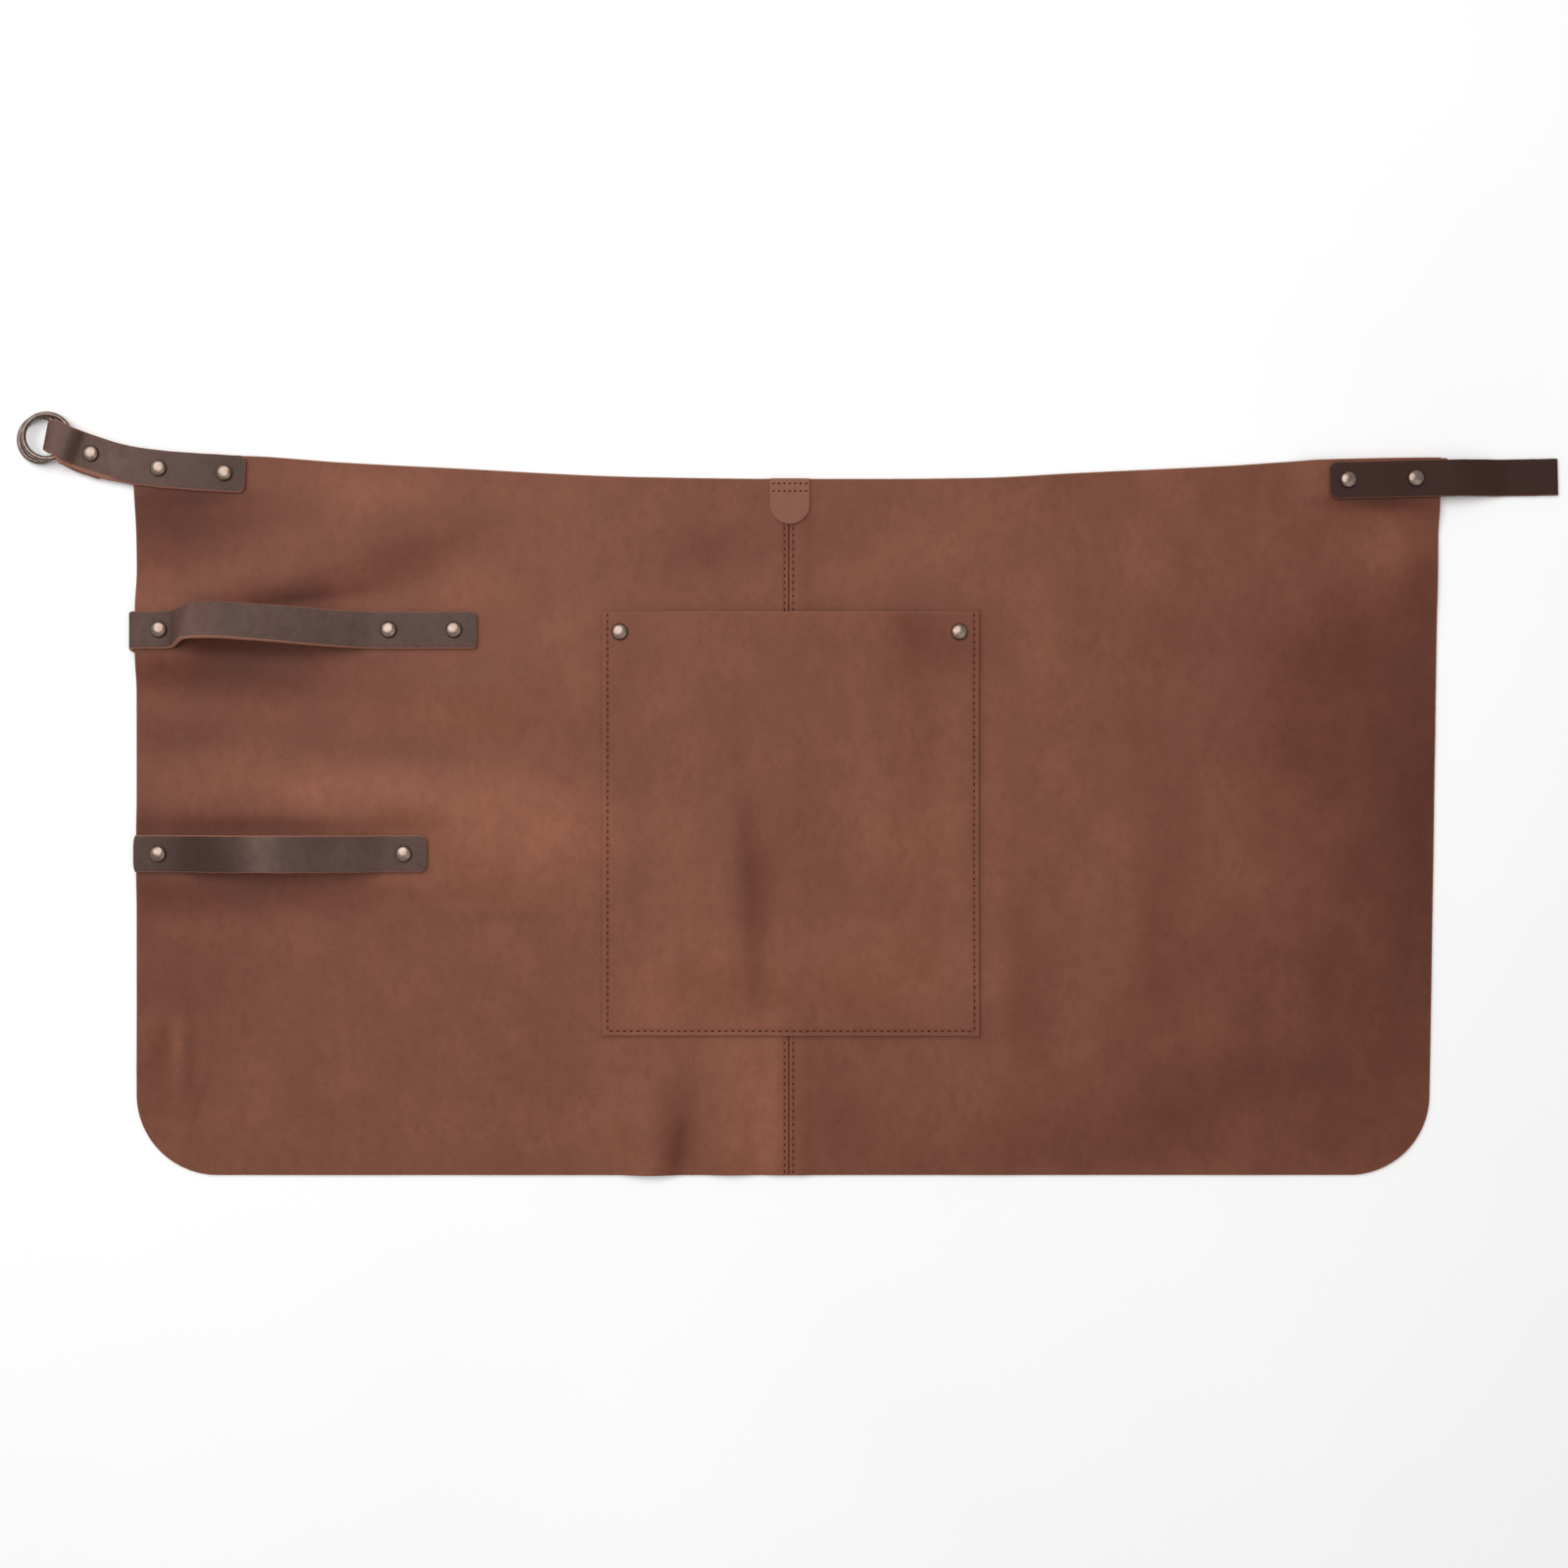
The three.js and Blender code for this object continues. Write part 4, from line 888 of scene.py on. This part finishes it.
def sewn_inset(x, y):
    """Distance from the nearest of the pocket's three sewn edges."""
    return np.minimum(np.minimum(x + POCKET_LEFT, POCKET_RIGHT - x), y - POCKET_UP)


def on_pocket_row(x, y):
    return near_line(sewn_inset(x, y) - POCKET_ROW, ROW_WIDTH)


def pocket_top(x, y):
    """The pocket's face, pulled down along its stitches."""
    return pocket_under(x, y) + SHEET - POCKET_SINK * on_pocket_row(x, y)


def pocket_piece():
    right_keys = [POCKET_RIGHT - key for key in POCKET_KEYS]
    xs = spaced(-POCKET_LEFT, POCKET_RIGHT, [-POCKET_LEFT + key for key in POCKET_KEYS] + right_keys)
    ys = spaced(POCKET_UP, POCKET_TOP, [POCKET_UP + key for key in POCKET_KEYS])
    x, y = np.meshgrid(xs, ys)
    inset = np.minimum(sewn_inset(x, y), POCKET_TOP - y)
    shade = -POCKET_ROW_SHADE * on_pocket_row(x, y)
    under = pocket_under(x, y)
    piece = sheet_mesh("pocket_front", x, y, under, pocket_top(x, y), inset, POCKET_RIM, BODY, shade)
    return ride_as(piece, "body_leather", "pocket")


TAB_SINK = 0.22
TAB_UNEVEN = 0.35
TAB_ROUND_LINES = 22
TAB_STRAIGHT_LINES = 28
TAB_LINES_ACROSS = 41


def tab_top(x, y):
    row = np.minimum(np.abs(y - TAB_ROWS[0]), np.abs(y - TAB_ROWS[1]))
    return body_top(x, y) + EDGE_GAP + SHEET - TAB_SINK * near_line(row, ROW_WIDTH)


def tab_piece():
    half = TAB_WIDTH / 2
    low = BODY_HEIGHT - TAB_LENGTH
    up = np.unique(np.concatenate([
        low + half * (1 - np.cos(np.radians(np.linspace(0, 90, TAB_ROUND_LINES)))),
        np.linspace(low + half, BODY_HEIGHT, TAB_STRAIGHT_LINES),
        BODY_HEIGHT - np.array(RIM_STEPS[:6]),
    ]))
    share = np.sin(np.radians(np.linspace(-90, 90, TAB_LINES_ACROSS)))
    across, rise = np.meshgrid(share, up)
    below = np.clip(low + half - rise, 0, half)
    reach = np.sqrt(half**2 - below**2)
    uneven = TAB_UNEVEN * (soft_noise(across + rise / 9, rise, 6, 81) - 0.5) * np.abs(across) ** 3
    x = TAB_SHIFT + across * reach + np.where(rise > low + half * 0.3, uneven, 0)
    from_side = half - np.hypot(x - TAB_SHIFT, below)
    inset = np.maximum(np.minimum(from_side, BODY_HEIGHT - rise), 0)
    under = body_top(x, rise) + EDGE_GAP
    piece = sheet_mesh("tab", x, rise, under, tab_top(x, rise), inset, POCKET_RIM, SUEDE)
    return ride_as(piece, "tab_leather", "waist_tab")


# Straps

SECTION_RADIUS = 0.55
BACK_POINTS = 7
FACE_POINTS = 11
CORNER_POINTS = 3
SLANT_REACH = 4
STRAP_CELL = 1.4
STRAP_END_STEPS = [0, 0.08, 0.2, 0.36, 0.55, 0.8, 1.2, 1.8, 2.6, 3.6, 4.8]
STRAP_END = 6
SLOPE_STEPS = 16
LEAN_FROM = 70
LEAN_TO = 103
LEAN_FADE = 8
RING_LEAN = 1.7
RING_TRIM = 0.9
CORNER_CUT = 0.45
TIP = 0.5

# Painted highlights and painted shade along each strap, where its bends face towards or away from the
# light, over a little of its own tone: distance along it, reach, change
UPPER_HIGHLIGHTS_AND_SHADE = [(22, 6, -0.16), (36, 10, 0.5), (70, 30, 0.04), (170, 30, 0.06)]
LOWER_HIGHLIGHTS_AND_SHADE = [(36, 27, -0.42), (76, 9, 0.46), (104, 10, -0.14), (158, 10, 0.06)]
RING_HIGHLIGHTS_AND_SHADE = [(12, 12, -0.12), (66, 34, 0.24), (98, 5, -0.26), (110, 6, 0.5)]


def even(left, right):
    """A cut that slants the same all along."""
    return lambda along: (left, right, 0)


def ring_slant(along):
    """Towards the fold the hem side's cut leans out, and the face is narrower there."""
    leaning = float(smooth((along - LEAN_FROM) / LEAN_FADE) * (1 - smooth((along - LEAN_TO) / LEAN_FADE)))
    return 0.1, 0.8 + RING_LEAN * leaning, RING_TRIM * leaning


def section_of(half_left, half_right, face, slant):
    """A strap's rounded section: across and out of each point, and how far it belongs to the cut edge.

    slant is how far the cut stands out at the back on the left and on the right.
    """
    r = min(SECTION_RADIUS, face * 0.9)
    points = []

    def line(start, stop, count, out, cut):
        for share in np.linspace(0, 1, count):
            points.append((start + (stop - start) * share, out, cut))

    def arc(middle, side, low, high):
        for degrees in np.linspace(low, high, CORNER_POINTS + 2)[1:-1]:
            angle = math.radians(degrees)
            cut = 1.0 if abs(math.sin(angle)) < 0.8 else CORNER_CUT
            points.append((middle + r * math.cos(angle), side * (face - r) + r * math.sin(angle), cut))

    def flank(across, side):
        points.append((across, -side * (face - r) * 0.5, 1.0))
        points.append((across, side * (face - r) * 0.5, 1.0))

    line(-half_left + r, half_right - r, BACK_POINTS, -face, 0.0)
    arc(half_right - r, -1, -90, 0)
    flank(half_right, 1)
    arc(half_right - r, 1, 0, 90)
    line(half_right - r, -half_left + r, FACE_POINTS, face, 0.0)
    arc(-half_left + r, 1, 90, 180)
    flank(-half_left, -1)
    arc(-half_left + r, -1, 180, 270)
    points = np.array(points)
    depth = 0.5 - points[:, 1] / (2 * face)
    near_left = np.clip((-points[:, 0] - half_left + SLANT_REACH) / SLANT_REACH, 0, 1) ** 2
    near_right = np.clip((points[:, 0] - half_right + SLANT_REACH) / SLANT_REACH, 0, 1) ** 2
    points[:, 0] += depth * (slant[1] * near_right - slant[0] * near_left)
    return points


def step_lengths(path):
    return np.hypot(np.diff(path[:, 0]), np.diff(path[:, 1]))


def narrowing(distance, deep, wide):
    """How far a rounded end stands in from the strap's edge at a distance from its tip."""
    if deep == 0:
        return np.zeros_like(distance)
    share = np.clip(1 - distance / deep, 0, 1)
    return wide * (1 - np.sqrt(1 - share**2))


def waviness(stops, seed):
    """How far a hand-cut edge wanders."""
    broad = 0.18 * (soft_noise(stops, 0 * stops, 7, seed) - 0.5)
    return broad + 0.1 * (soft_noise(stops, 0 * stops, 2.2, seed + 1) - 0.5)


def strap_piece(name, node, path, plan, start, finish, material, seed, slant=even(0.2, 0.2), highlights_and_shade=()):
    """A strap swept along path, whose rows are along, z, shift, twist and pinch, 0 where left out.

    start and finish are how deep and how wide each end's rounding is.
    """
    path = np.array([tuple(row) + (0,) * (5 - len(row)) for row in path], float)
    path = path[np.concatenate([[True], step_lengths(path) > 1e-6])]
    lengths = np.concatenate([[0], np.cumsum(step_lengths(path))])
    total = lengths[-1]
    ends = np.array(STRAP_END_STEPS)
    between = np.arange(STRAP_END, total - STRAP_END, STRAP_CELL)
    stops = np.unique(np.round(np.concatenate([between, ends, total - ends, [total]]), 4))
    rows = np.stack([np.interp(stops, lengths, path[:, k]) for k in range(path.shape[1])], axis=1)
    along, z, shift, twist, pinch = rows.T
    ends_in = narrowing(stops, *start) + narrowing(total - stops, *finish)
    tangent = np.stack([np.gradient(along, stops), np.gradient(z, stops)], axis=1)
    tangent /= np.linalg.norm(tangent, axis=1)[:, None]
    from_end = np.minimum(stops, total - stops)
    faces_out = STRAP / 2 - SECTION_RADIUS * round_drop(from_end / SECTION_RADIUS) * 0.9
    wave_left = waviness(stops, seed)
    wave_right = waviness(stops, seed + 2)
    points = []
    cut_edges = []
    flesh = []
    for i in range(len(stops)):
        half = STRAP_WIDTH / 2 - pinch[i] - ends_in[i]
        lean_left, lean_right, trim = slant(along[i])
        half_right = half + wave_right[i] - trim
        section = section_of(half + wave_left[i], half_right, faces_out[i], (lean_left, lean_right))
        angle = math.radians(twist[i])
        across = section[:, 0] * math.cos(angle) + section[:, 1] * math.sin(angle) + shift[i]
        out = section[:, 1] * math.cos(angle) - section[:, 0] * math.sin(angle)
        x, y, turn_x, turn_y = plan(along[i] - tangent[i, 1] * out)
        height = z[i] + tangent[i, 0] * out
        points.append(np.stack([x + turn_x * across, y + turn_y * across, height], axis=1))
        tip = max(0.0, 1 - from_end[i] / TIP)
        cut_edges.append(np.maximum(section[:, 2], tip))
        flesh.append((section[:, 1] < 0).astype(float))
    sides = len(points[0])
    closed = tube(len(points), sides)
    faces = skin(closed) + [closed[0, :-1].tolist(), closed[-1, :-1].tolist()]
    tone_and_shade = 0.06 * (soft_noise(along, 0 * along, 16, seed + 5) - 0.5)
    # Painted highlights and painted shade along the strap, added to its random tone
    for middle, reach, change in highlights_and_shade:
        tone_and_shade = tone_and_shade + change * near_line(along - middle, reach)
    attributes = {
        "edge": np.concatenate(cut_edges),
        "flesh": np.concatenate(flesh),
        "tone_and_shade": np.repeat(tone_and_shade, sides),
    }
    piece = add_mesh(name, np.concatenate(points), faces, material, attributes)
    return ride_as(piece, "strap_leather", node)


def slope(start, span, low, high, steps=SLOPE_STEPS, shift=0):
    """Rows of a strap's path that run smoothly from one height to another."""
    return [
        (start + share * span, low + (high - low) * float(smooth(share)), shift * share)
        for share in np.linspace(0, 1, steps)
    ]


BULGE_STEPS = 90


def bulge(start, span, rise, lean, twist, rises, leans, height_from, height_to):
    """Rows of a strap's path along a loop that stands up between two rivets."""
    share = np.linspace(0, 1, BULGE_STEPS)
    up = height_from + (height_to - height_from) * smooth(share) + rise * curve_through(rises)(share)
    leaning = curve_through(leans)(share)
    return [
        (start + s * span, u, lean * a, twist * a)
        for s, u, a in zip(share, up, leaning)
    ]


WRAP_STEPS = 22


def upper_loop():
    fold = CLEAR_OF_RETURN + SHEET / 2 - RETURN_MIDDLE
    path = [(UPPER_LOOP_INSET + RETURN_END, RETURN_MIDDLE, -WRAP_SKEW)]
    for share in np.linspace(0, 1, WRAP_STEPS):
        angle = math.pi * share
        path.append((
            WRAP_TUCK - fold * math.sin(angle),
            RETURN_MIDDLE + fold * (1 - math.cos(angle)),
            -WRAP_SKEW * (1 - float(smooth(share))),
        ))
    front = middle_on(CLEAR_OF_RETURN)
    end = middle_on(CLEAR_OF_BACK_CAP)
    path += bulge(
        UPPER_LOOP_INSET, UPPER_LOOP_SPAN, UPPER_LOOP_RISE, UPPER_LOOP_LEAN, UPPER_LOOP_TWIST,
        UPPER_RISE, UPPER_LEAN, front, end,
    )
    path.append((UPPER_LOOP_INSET + UPPER_LOOP_SPAN + UPPER_LOOP_PITCH + LOOP_TAIL, end))
    corner = (UPPER_LOOP_CORNER, UPPER_LOOP_CORNER)
    strap_piece(
        "towel_loop_upper", "loop_strap_upper", path, upper_loop_plan,
        (0, 0), corner, DARK, 21, even(0.9, 0.1), UPPER_HIGHLIGHTS_AND_SHADE,
    )


def lower_loop():
    level = middle_on(CLEAR_OF_BACK_CAP)
    path = [(-LOWER_LOOP_OVERHANG, level)]
    path += bulge(
        LOWER_LOOP_INSET, LOWER_LOOP_SPAN, LOWER_LOOP_RISE, 0, 0, LOWER_RISE, LOWER_RISE, level, level,
    )
    path.append((LOWER_LOOP_INSET + LOWER_LOOP_SPAN + LOOP_TAIL, level))
    bowed = (LOWER_LOOP_BOW, STRAP_WIDTH * 0.4)
    corner = (LOWER_LOOP_CORNER, LOWER_LOOP_CORNER)
    strap_piece(
        "towel_loop_lower", "loop_strap_lower", path, lower_loop_plan,
        bowed, corner, DARK, 31, even(0.3, 0.5), LOWER_HIGHLIGHTS_AND_SHADE,
    )


FOLD_NARROWING = RING_FOLD_PINCH + 1
RING_FOLD_PULL = -1.8
FOLD_LIP = 1.1
LIP_FROM = 0.12
LIP_FADE = 0.26
FOLD_STEPS = 40
RETURN_SHIFT = 1
RIVET_CLEAR = 1.2


def ring_strap():
    on_body = middle_on(CLEAR_OF_BACK_CAP)
    over_return = RETURN_MIDDLE + STRAP + GAP
    top = RING_BUMP_TOP - STRAP / 2
    bottom = STRAP / 2
    fold_start = RING_STRAP_LENGTH - STRAP / 2 - RING_FOLD_DEPTH
    bump_start = fold_start - RING_BUMP_LENGTH
    before_rivet = RING_STRAP_RIVET - CAP_RADIUS - RIVET_CLEAR
    after_rivet = RING_STRAP_RIVET + CAP_RADIUS + RIVET_CLEAR
    path = [(0, on_body)]
    path += slope(RING_STRAP_INSET, before_rivet - RING_STRAP_INSET, on_body, over_return)
    slope_start = max(after_rivet, bump_start - RING_BUMP_SLOPE)
    path += slope(slope_start, bump_start - slope_start, over_return, top)
    pull = (RING_FOLD_PULL - FOLD_LIP) * 0.6
    path.append((bump_start + RING_BUMP_LENGTH / 2, top, pull, 0, RING_FOLD_PINCH * 0.5))

    def power(value):
        return math.copysign(abs(value) ** (2 / RING_FOLD_SQUARENESS), value)

    for share in np.linspace(0, 1, FOLD_STEPS):
        angle = math.pi * (0.5 - share)
        lip = 1 - float(smooth((share - LIP_FROM) / LIP_FADE))
        path.append((
            fold_start + RING_FOLD_DEPTH * power(math.cos(angle)),
            (top + bottom) / 2 + (top - bottom) / 2 * power(math.sin(angle)),
            RING_FOLD_PULL - FOLD_LIP * lip,
            0,
            FOLD_NARROWING - lip,
        ))
    path.append((fold_start - RING_BUMP_LENGTH / 2, bottom, 0, 0, FOLD_NARROWING * 0.4))
    path += slope(bump_start, after_rivet - bump_start, bottom, RETURN_MIDDLE, shift=RETURN_SHIFT)
    path.append((RING_STRAP_RIVET - RETURN_END + 2, RETURN_MIDDLE, RETURN_SHIFT))
    corner = (RING_STRAP_CORNER, RING_STRAP_CORNER)
    strap_piece(
        "strap_with_rings", "ring_strap", path, ring_strap_plan,
        corner, corner, DARK, 41, ring_slant, RING_HIGHLIGHTS_AND_SHADE,
    )


WAIST_FALL_STEPS = 24


def waist_strap():
    high = middle_on(CLEAR_OF_RETURN)
    low = STRAP / 2
    path = [(0, high)]
    path += slope(WAIST_STRAP_INSET + WAIST_STRAP_CLEAR, WAIST_STRAP_FALL, high, low, WAIST_FALL_STEPS)
    path.append((WAIST_STRAP_LENGTH, low))
    corner = (WAIST_STRAP_CORNER, WAIST_STRAP_CORNER)
    strap_piece("strap_right", "waist_strap", path, waist_strap_plan, corner, (0, 0), BLACKISH, 51)


def backing():
    path = [(0, RETURN_MIDDLE), (BACKING_LENGTH, RETURN_MIDDLE)]
    corner = (BACKING_CORNER, BACKING_CORNER)
    strap_piece("strap_right_backing", "waist_strap_backing", path, backing_plan, corner, corner, BODY, 61)


# Metal

LATHE_SIDES = 48
DOME_STEPS = 16
DOME_POWER = 0.92
CAP_EDGE = CAP_RIM * 0.7
BACK_FOOT = 0.3
BACK_EASE = 0.2
CAP_FOOT = [(0.25, 0), (0.05, 0.1), (0, 0.35)]
RIM_SHADE_FROM = 0.8
RIM_SHADE_FADE = 0.16
RING_STEPS = 96
WIRE_SIDES = 24


def lathe(name, profile, x, y, material):
    """Turns a profile of radius and height round an upright axis."""
    points = []
    angles = np.linspace(0, 2 * math.pi, LATHE_SIDES, endpoint=False)
    for radius, height in profile[1:-1]:
        points += [(x + radius * math.cos(a), y + radius * math.sin(a), height) for a in angles]
    closed = tube(len(profile) - 2, LATHE_SIDES)
    faces = skin(closed)
    for end, ring in ((profile[0], closed[0]), (profile[-1], closed[-1])):
        points.append((x, y, end[1]))
        faces += [[ring[i], ring[i + 1], len(points) - 1] for i in range(LATHE_SIDES)]
    radii = [radius for radius, height in profile[1:-1] for _ in range(LATHE_SIDES)] + [0, 0]
    # How far each point lies in the painted shade at the cap's rim
    rim = smooth((np.array(radii) / CAP_RADIUS - RIM_SHADE_FROM) / RIM_SHADE_FADE)
    return add_mesh(name, points, faces, material, {"rim": rim})


def rivet_profile(under):
    """Back cap, post and domed cap, with every corner eased."""
    cap = [(CAP_RADIUS - inward, under + up) for inward, up in CAP_FOOT]
    for degrees in np.linspace(4, 88, DOME_STEPS):
        angle = math.radians(degrees)
        height = under + CAP_EDGE + (CAP_DOME - CAP_EDGE) * math.sin(angle) ** DOME_POWER
        cap.append((CAP_RADIUS * math.cos(angle), height))
    return [
        (0, 0),
        (BACK_CAP_RADIUS - BACK_FOOT, 0),
        (BACK_CAP_RADIUS, BACK_FOOT),
        (BACK_CAP_RADIUS, BACK_CAP - BACK_EASE),
        (BACK_CAP_RADIUS - BACK_EASE, BACK_CAP),
        (POST_RADIUS, BACK_CAP),
        (POST_RADIUS, under),
        *cap,
        (0, under + CAP_DOME),
    ]


def rivets():
    for node in sorted(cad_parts):
        if not node.startswith("rivet_"):
            continue
        low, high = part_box(node)
        x = (low.x + high.x) / 2 / MM - PLAN_X
        y = (low.y + high.y) / 2 / MM - PLAN_Y
        piece = lathe(node.replace("rivet", "stud"), rivet_profile(high.z / MM - CAP_DOME), x, y, RIVET)
        ride_as(piece, "rivet_metal", node)


def ring_piece(name, node, middle, tilt, bearing):
    """A wire ring whose highest side lies in the direction of bearing."""
    around = np.linspace(0, 2 * math.pi, RING_STEPS, endpoint=False)
    about = np.linspace(0, 2 * math.pi, WIRE_SIDES, endpoint=False)
    a, b = np.meshgrid(around, about, indexing="ij")
    reach = (RING_OUTSIDE - RING_WIRE) / 2 + RING_WIRE / 2 * np.cos(b)
    flat = np.stack([reach * np.cos(a), reach * np.sin(a), RING_WIRE / 2 * np.sin(b)], axis=-1)
    turn = math.radians(bearing)
    lean = math.radians(tilt)
    axis = np.array([math.sin(turn), -math.cos(turn), 0])
    spread = flat.reshape(-1, 3)
    turned = (
        spread * math.cos(lean)
        + np.cross(axis, spread) * math.sin(lean)
        + np.outer(spread @ axis, axis) * (1 - math.cos(lean))
    )
    closed = tube(RING_STEPS, WIRE_SIDES)
    faces = skin(np.concatenate([closed, closed[:1]]))
    return ride_as(add_mesh(name, turned + middle, faces, RING), "ring_metal", node)


def rings():
    reach = RING_STRAP_LENGTH + RING_REACH
    radius = (RING_OUTSIDE - RING_WIRE) / 2
    lower_z = RING_WIRE / 2 + radius * math.sin(math.radians(LOWER_RING_TILT))
    x, y = (float(v) for v in ring_strap_plan(reach)[:2])
    ring_piece("wire_ring_lower", "ring_lower", (x, y, lower_z), LOWER_RING_TILT, -RING_STRAP_BEND[-1][1])
    x, y, turn_x, turn_y = (float(v) for v in ring_strap_plan(reach - RING_APART_ALONG))
    x -= turn_x * RING_APART_ACROSS
    y -= turn_y * RING_APART_ACROSS
    upper_z = lower_z + RING_WIRE + RING_SPACE
    ring_piece("wire_ring_upper", "ring_upper", (x, y, upper_z), UPPER_RING_TILT, UPPER_RING_BEARING)


# Stitches

STITCH_PITCH = 3.9
STITCH_LENGTH = 2.0
STITCH_HALF = 0.58
STITCH_STEPS = 9
STITCH_SIDES = 8
STITCH_TURN = 5
STITCH_SPREAD = 0.08
STITCH_LEAST = 0.04
STITCH_SUNK = 0.1
STITCH_DIP = 0.3
STITCH_FLATNESS = 0.8
SEAM_FIRST = 2.2
UNDER_TAB = 1.5
SHORT_OF_POCKET = 1
SHORT_OF_TOP = 0.6
TAB_STITCHES = 7
TAB_PITCH = 3.1


def stitches(name, rows, top, seed):
    """Short threads along rows of x, y and heading, each dipping into the leather at both ends."""
    chance = np.random.default_rng(seed)
    about = np.linspace(0, 2 * math.pi, STITCH_SIDES, endpoint=False)
    closed = tube(STITCH_STEPS, STITCH_SIDES)
    one = skin(closed) + [closed[0, -2::-1].tolist(), closed[-1, :-1].tolist()]
    points = []
    faces = []
    for x, y, heading in rows:
        angle = math.radians(heading + chance.uniform(-STITCH_TURN, STITCH_TURN))
        length = STITCH_LENGTH * chance.uniform(1 - STITCH_SPREAD, 1 + STITCH_SPREAD)
        height = float(top(np.array([x]), np.array([y]))[0])
        faces += [[len(points) + corner for corner in face] for face in one]
        for share in np.linspace(-1, 1, STITCH_STEPS):
            thick = STITCH_HALF * math.sqrt(max(1 - abs(share) ** 3, STITCH_LEAST))
            middle = height - STITCH_SUNK - STITCH_DIP * share * share
            for turn in about:
                along = share * length / 2
                across = thick * math.cos(turn)
                points.append((
                    x + along * math.cos(angle) - across * math.sin(angle),
                    y + along * math.sin(angle) + across * math.cos(angle),
                    middle + thick * STITCH_FLATNESS * math.sin(turn),
                ))
    return ride_as(add_mesh(name, points, faces, THREAD), "thread")


def all_stitches():
    tab_end = BODY_HEIGHT - TAB_LENGTH
    above = np.arange(POCKET_TOP + ABOVE_POCKET, tab_end + UNDER_TAB, STITCH_PITCH)
    below = np.arange(SEAM_FIRST, POCKET_UP - SHORT_OF_POCKET, STITCH_PITCH)
    heights = np.concatenate([above, below])
    seam = [(side * SEAM_ROW, y, 90) for side in (-1, 1) for y in heights]
    stitches("seam_stitches", seam, seam_top, 71)
    left = -POCKET_LEFT + POCKET_ROW
    right = POCKET_RIGHT - POCKET_ROW
    low = POCKET_UP + POCKET_ROW
    ups = np.arange(low + STITCH_PITCH / 2, POCKET_TOP - SHORT_OF_TOP, STITCH_PITCH)
    overs = np.arange(left + STITCH_PITCH / 2, right, STITCH_PITCH)
    pocket = [(left, y, 90) for y in ups] + [(right, y, 90) for y in ups] + [(x, low, 0) for x in overs]
    stitches("pocket_stitches", pocket, pocket_top, 72)
    tab_xs = [TAB_SHIFT + (k - TAB_STITCHES // 2) * TAB_PITCH for k in range(TAB_STITCHES)]
    stitches("tab_stitches", [(x, y, 0) for y in TAB_ROWS for x in tab_xs], tab_top, 73)


body_left = body_half("body_left", "panel_left", -1)
body_right = body_half("body_right", "panel_right", 1)
pocket = pocket_piece()
tab = tab_piece()
ring_strap()
upper_loop()
lower_loop()
waist_strap()
backing()
rivets()
rings()
all_stitches()

# Floor, light and camera

FLOOR_HALF = 4.0
MIDDLE = (0.0, 0.0, 0.0)
KEY_SPOT = (-0.7, 0.82, 2.15)
KEY_SIZE = 2.5
KEY_POWER = 49.4
FILL_SPOT = (1.2, -1.0, 2.4)
FILL_SIZE = 2.2
FILL_POWER = 7.5
ROOM_LIGHT = 0.4
CAMERA_SPOT = (-0.002, 0.0057, 1.3)
LENS = 51.63


def floor():
    s = Shader("paper")
    tint = s.mix(s.ramp(s.noise(3, 3), 0.3, 0.7), colour(250, 250, 250), colour(247, 247, 247))
    s.set("Base Color", tint)
    s.set("Roughness", 0.9)
    s.set("Specular IOR Level", 0.1)
    mesh = bpy.data.meshes.new("paper_floor")
    corners = [(x * FLOOR_HALF, y * FLOOR_HALF, 0) for x, y in ((-1, -1), (1, -1), (1, 1), (-1, 1))]
    mesh.from_pydata(corners, [], [(0, 1, 2, 3)])
    mesh.materials.append(s.material)
    piece = add_object("paper_floor", mesh)


def area_light(name, spot, size, power):
    data = bpy.data.lights.new(name, "AREA")
    data.shape = "DISK"
    data.size = size
    data.energy = power
    lamp = add_object(name, data)
    lamp.location = spot
    lamp.rotation_mode = "QUATERNION"
    lamp.rotation_quaternion = (Vector(MIDDLE) - Vector(spot)).to_track_quat("-Z", "Y")


floor()
area_light("key", KEY_SPOT, KEY_SIZE, KEY_POWER)
area_light("fill", FILL_SPOT, FILL_SIZE, FILL_POWER)

world = bpy.data.worlds.new("studio")
world.use_nodes = True
background = world.node_tree.nodes["Background"]
background.inputs["Color"].default_value = (1, 1, 1, 1)
background.inputs["Strength"].default_value = ROOM_LIGHT
bpy.context.scene.world = world

camera_data = bpy.data.cameras.new("camera")
camera_data.sensor_width = 36
camera_data.lens = LENS
camera = add_object("camera", camera_data)
camera.location = CAMERA_SPOT
bpy.context.scene.camera = camera
bpy.context.scene.view_settings.view_transform = "Standard"
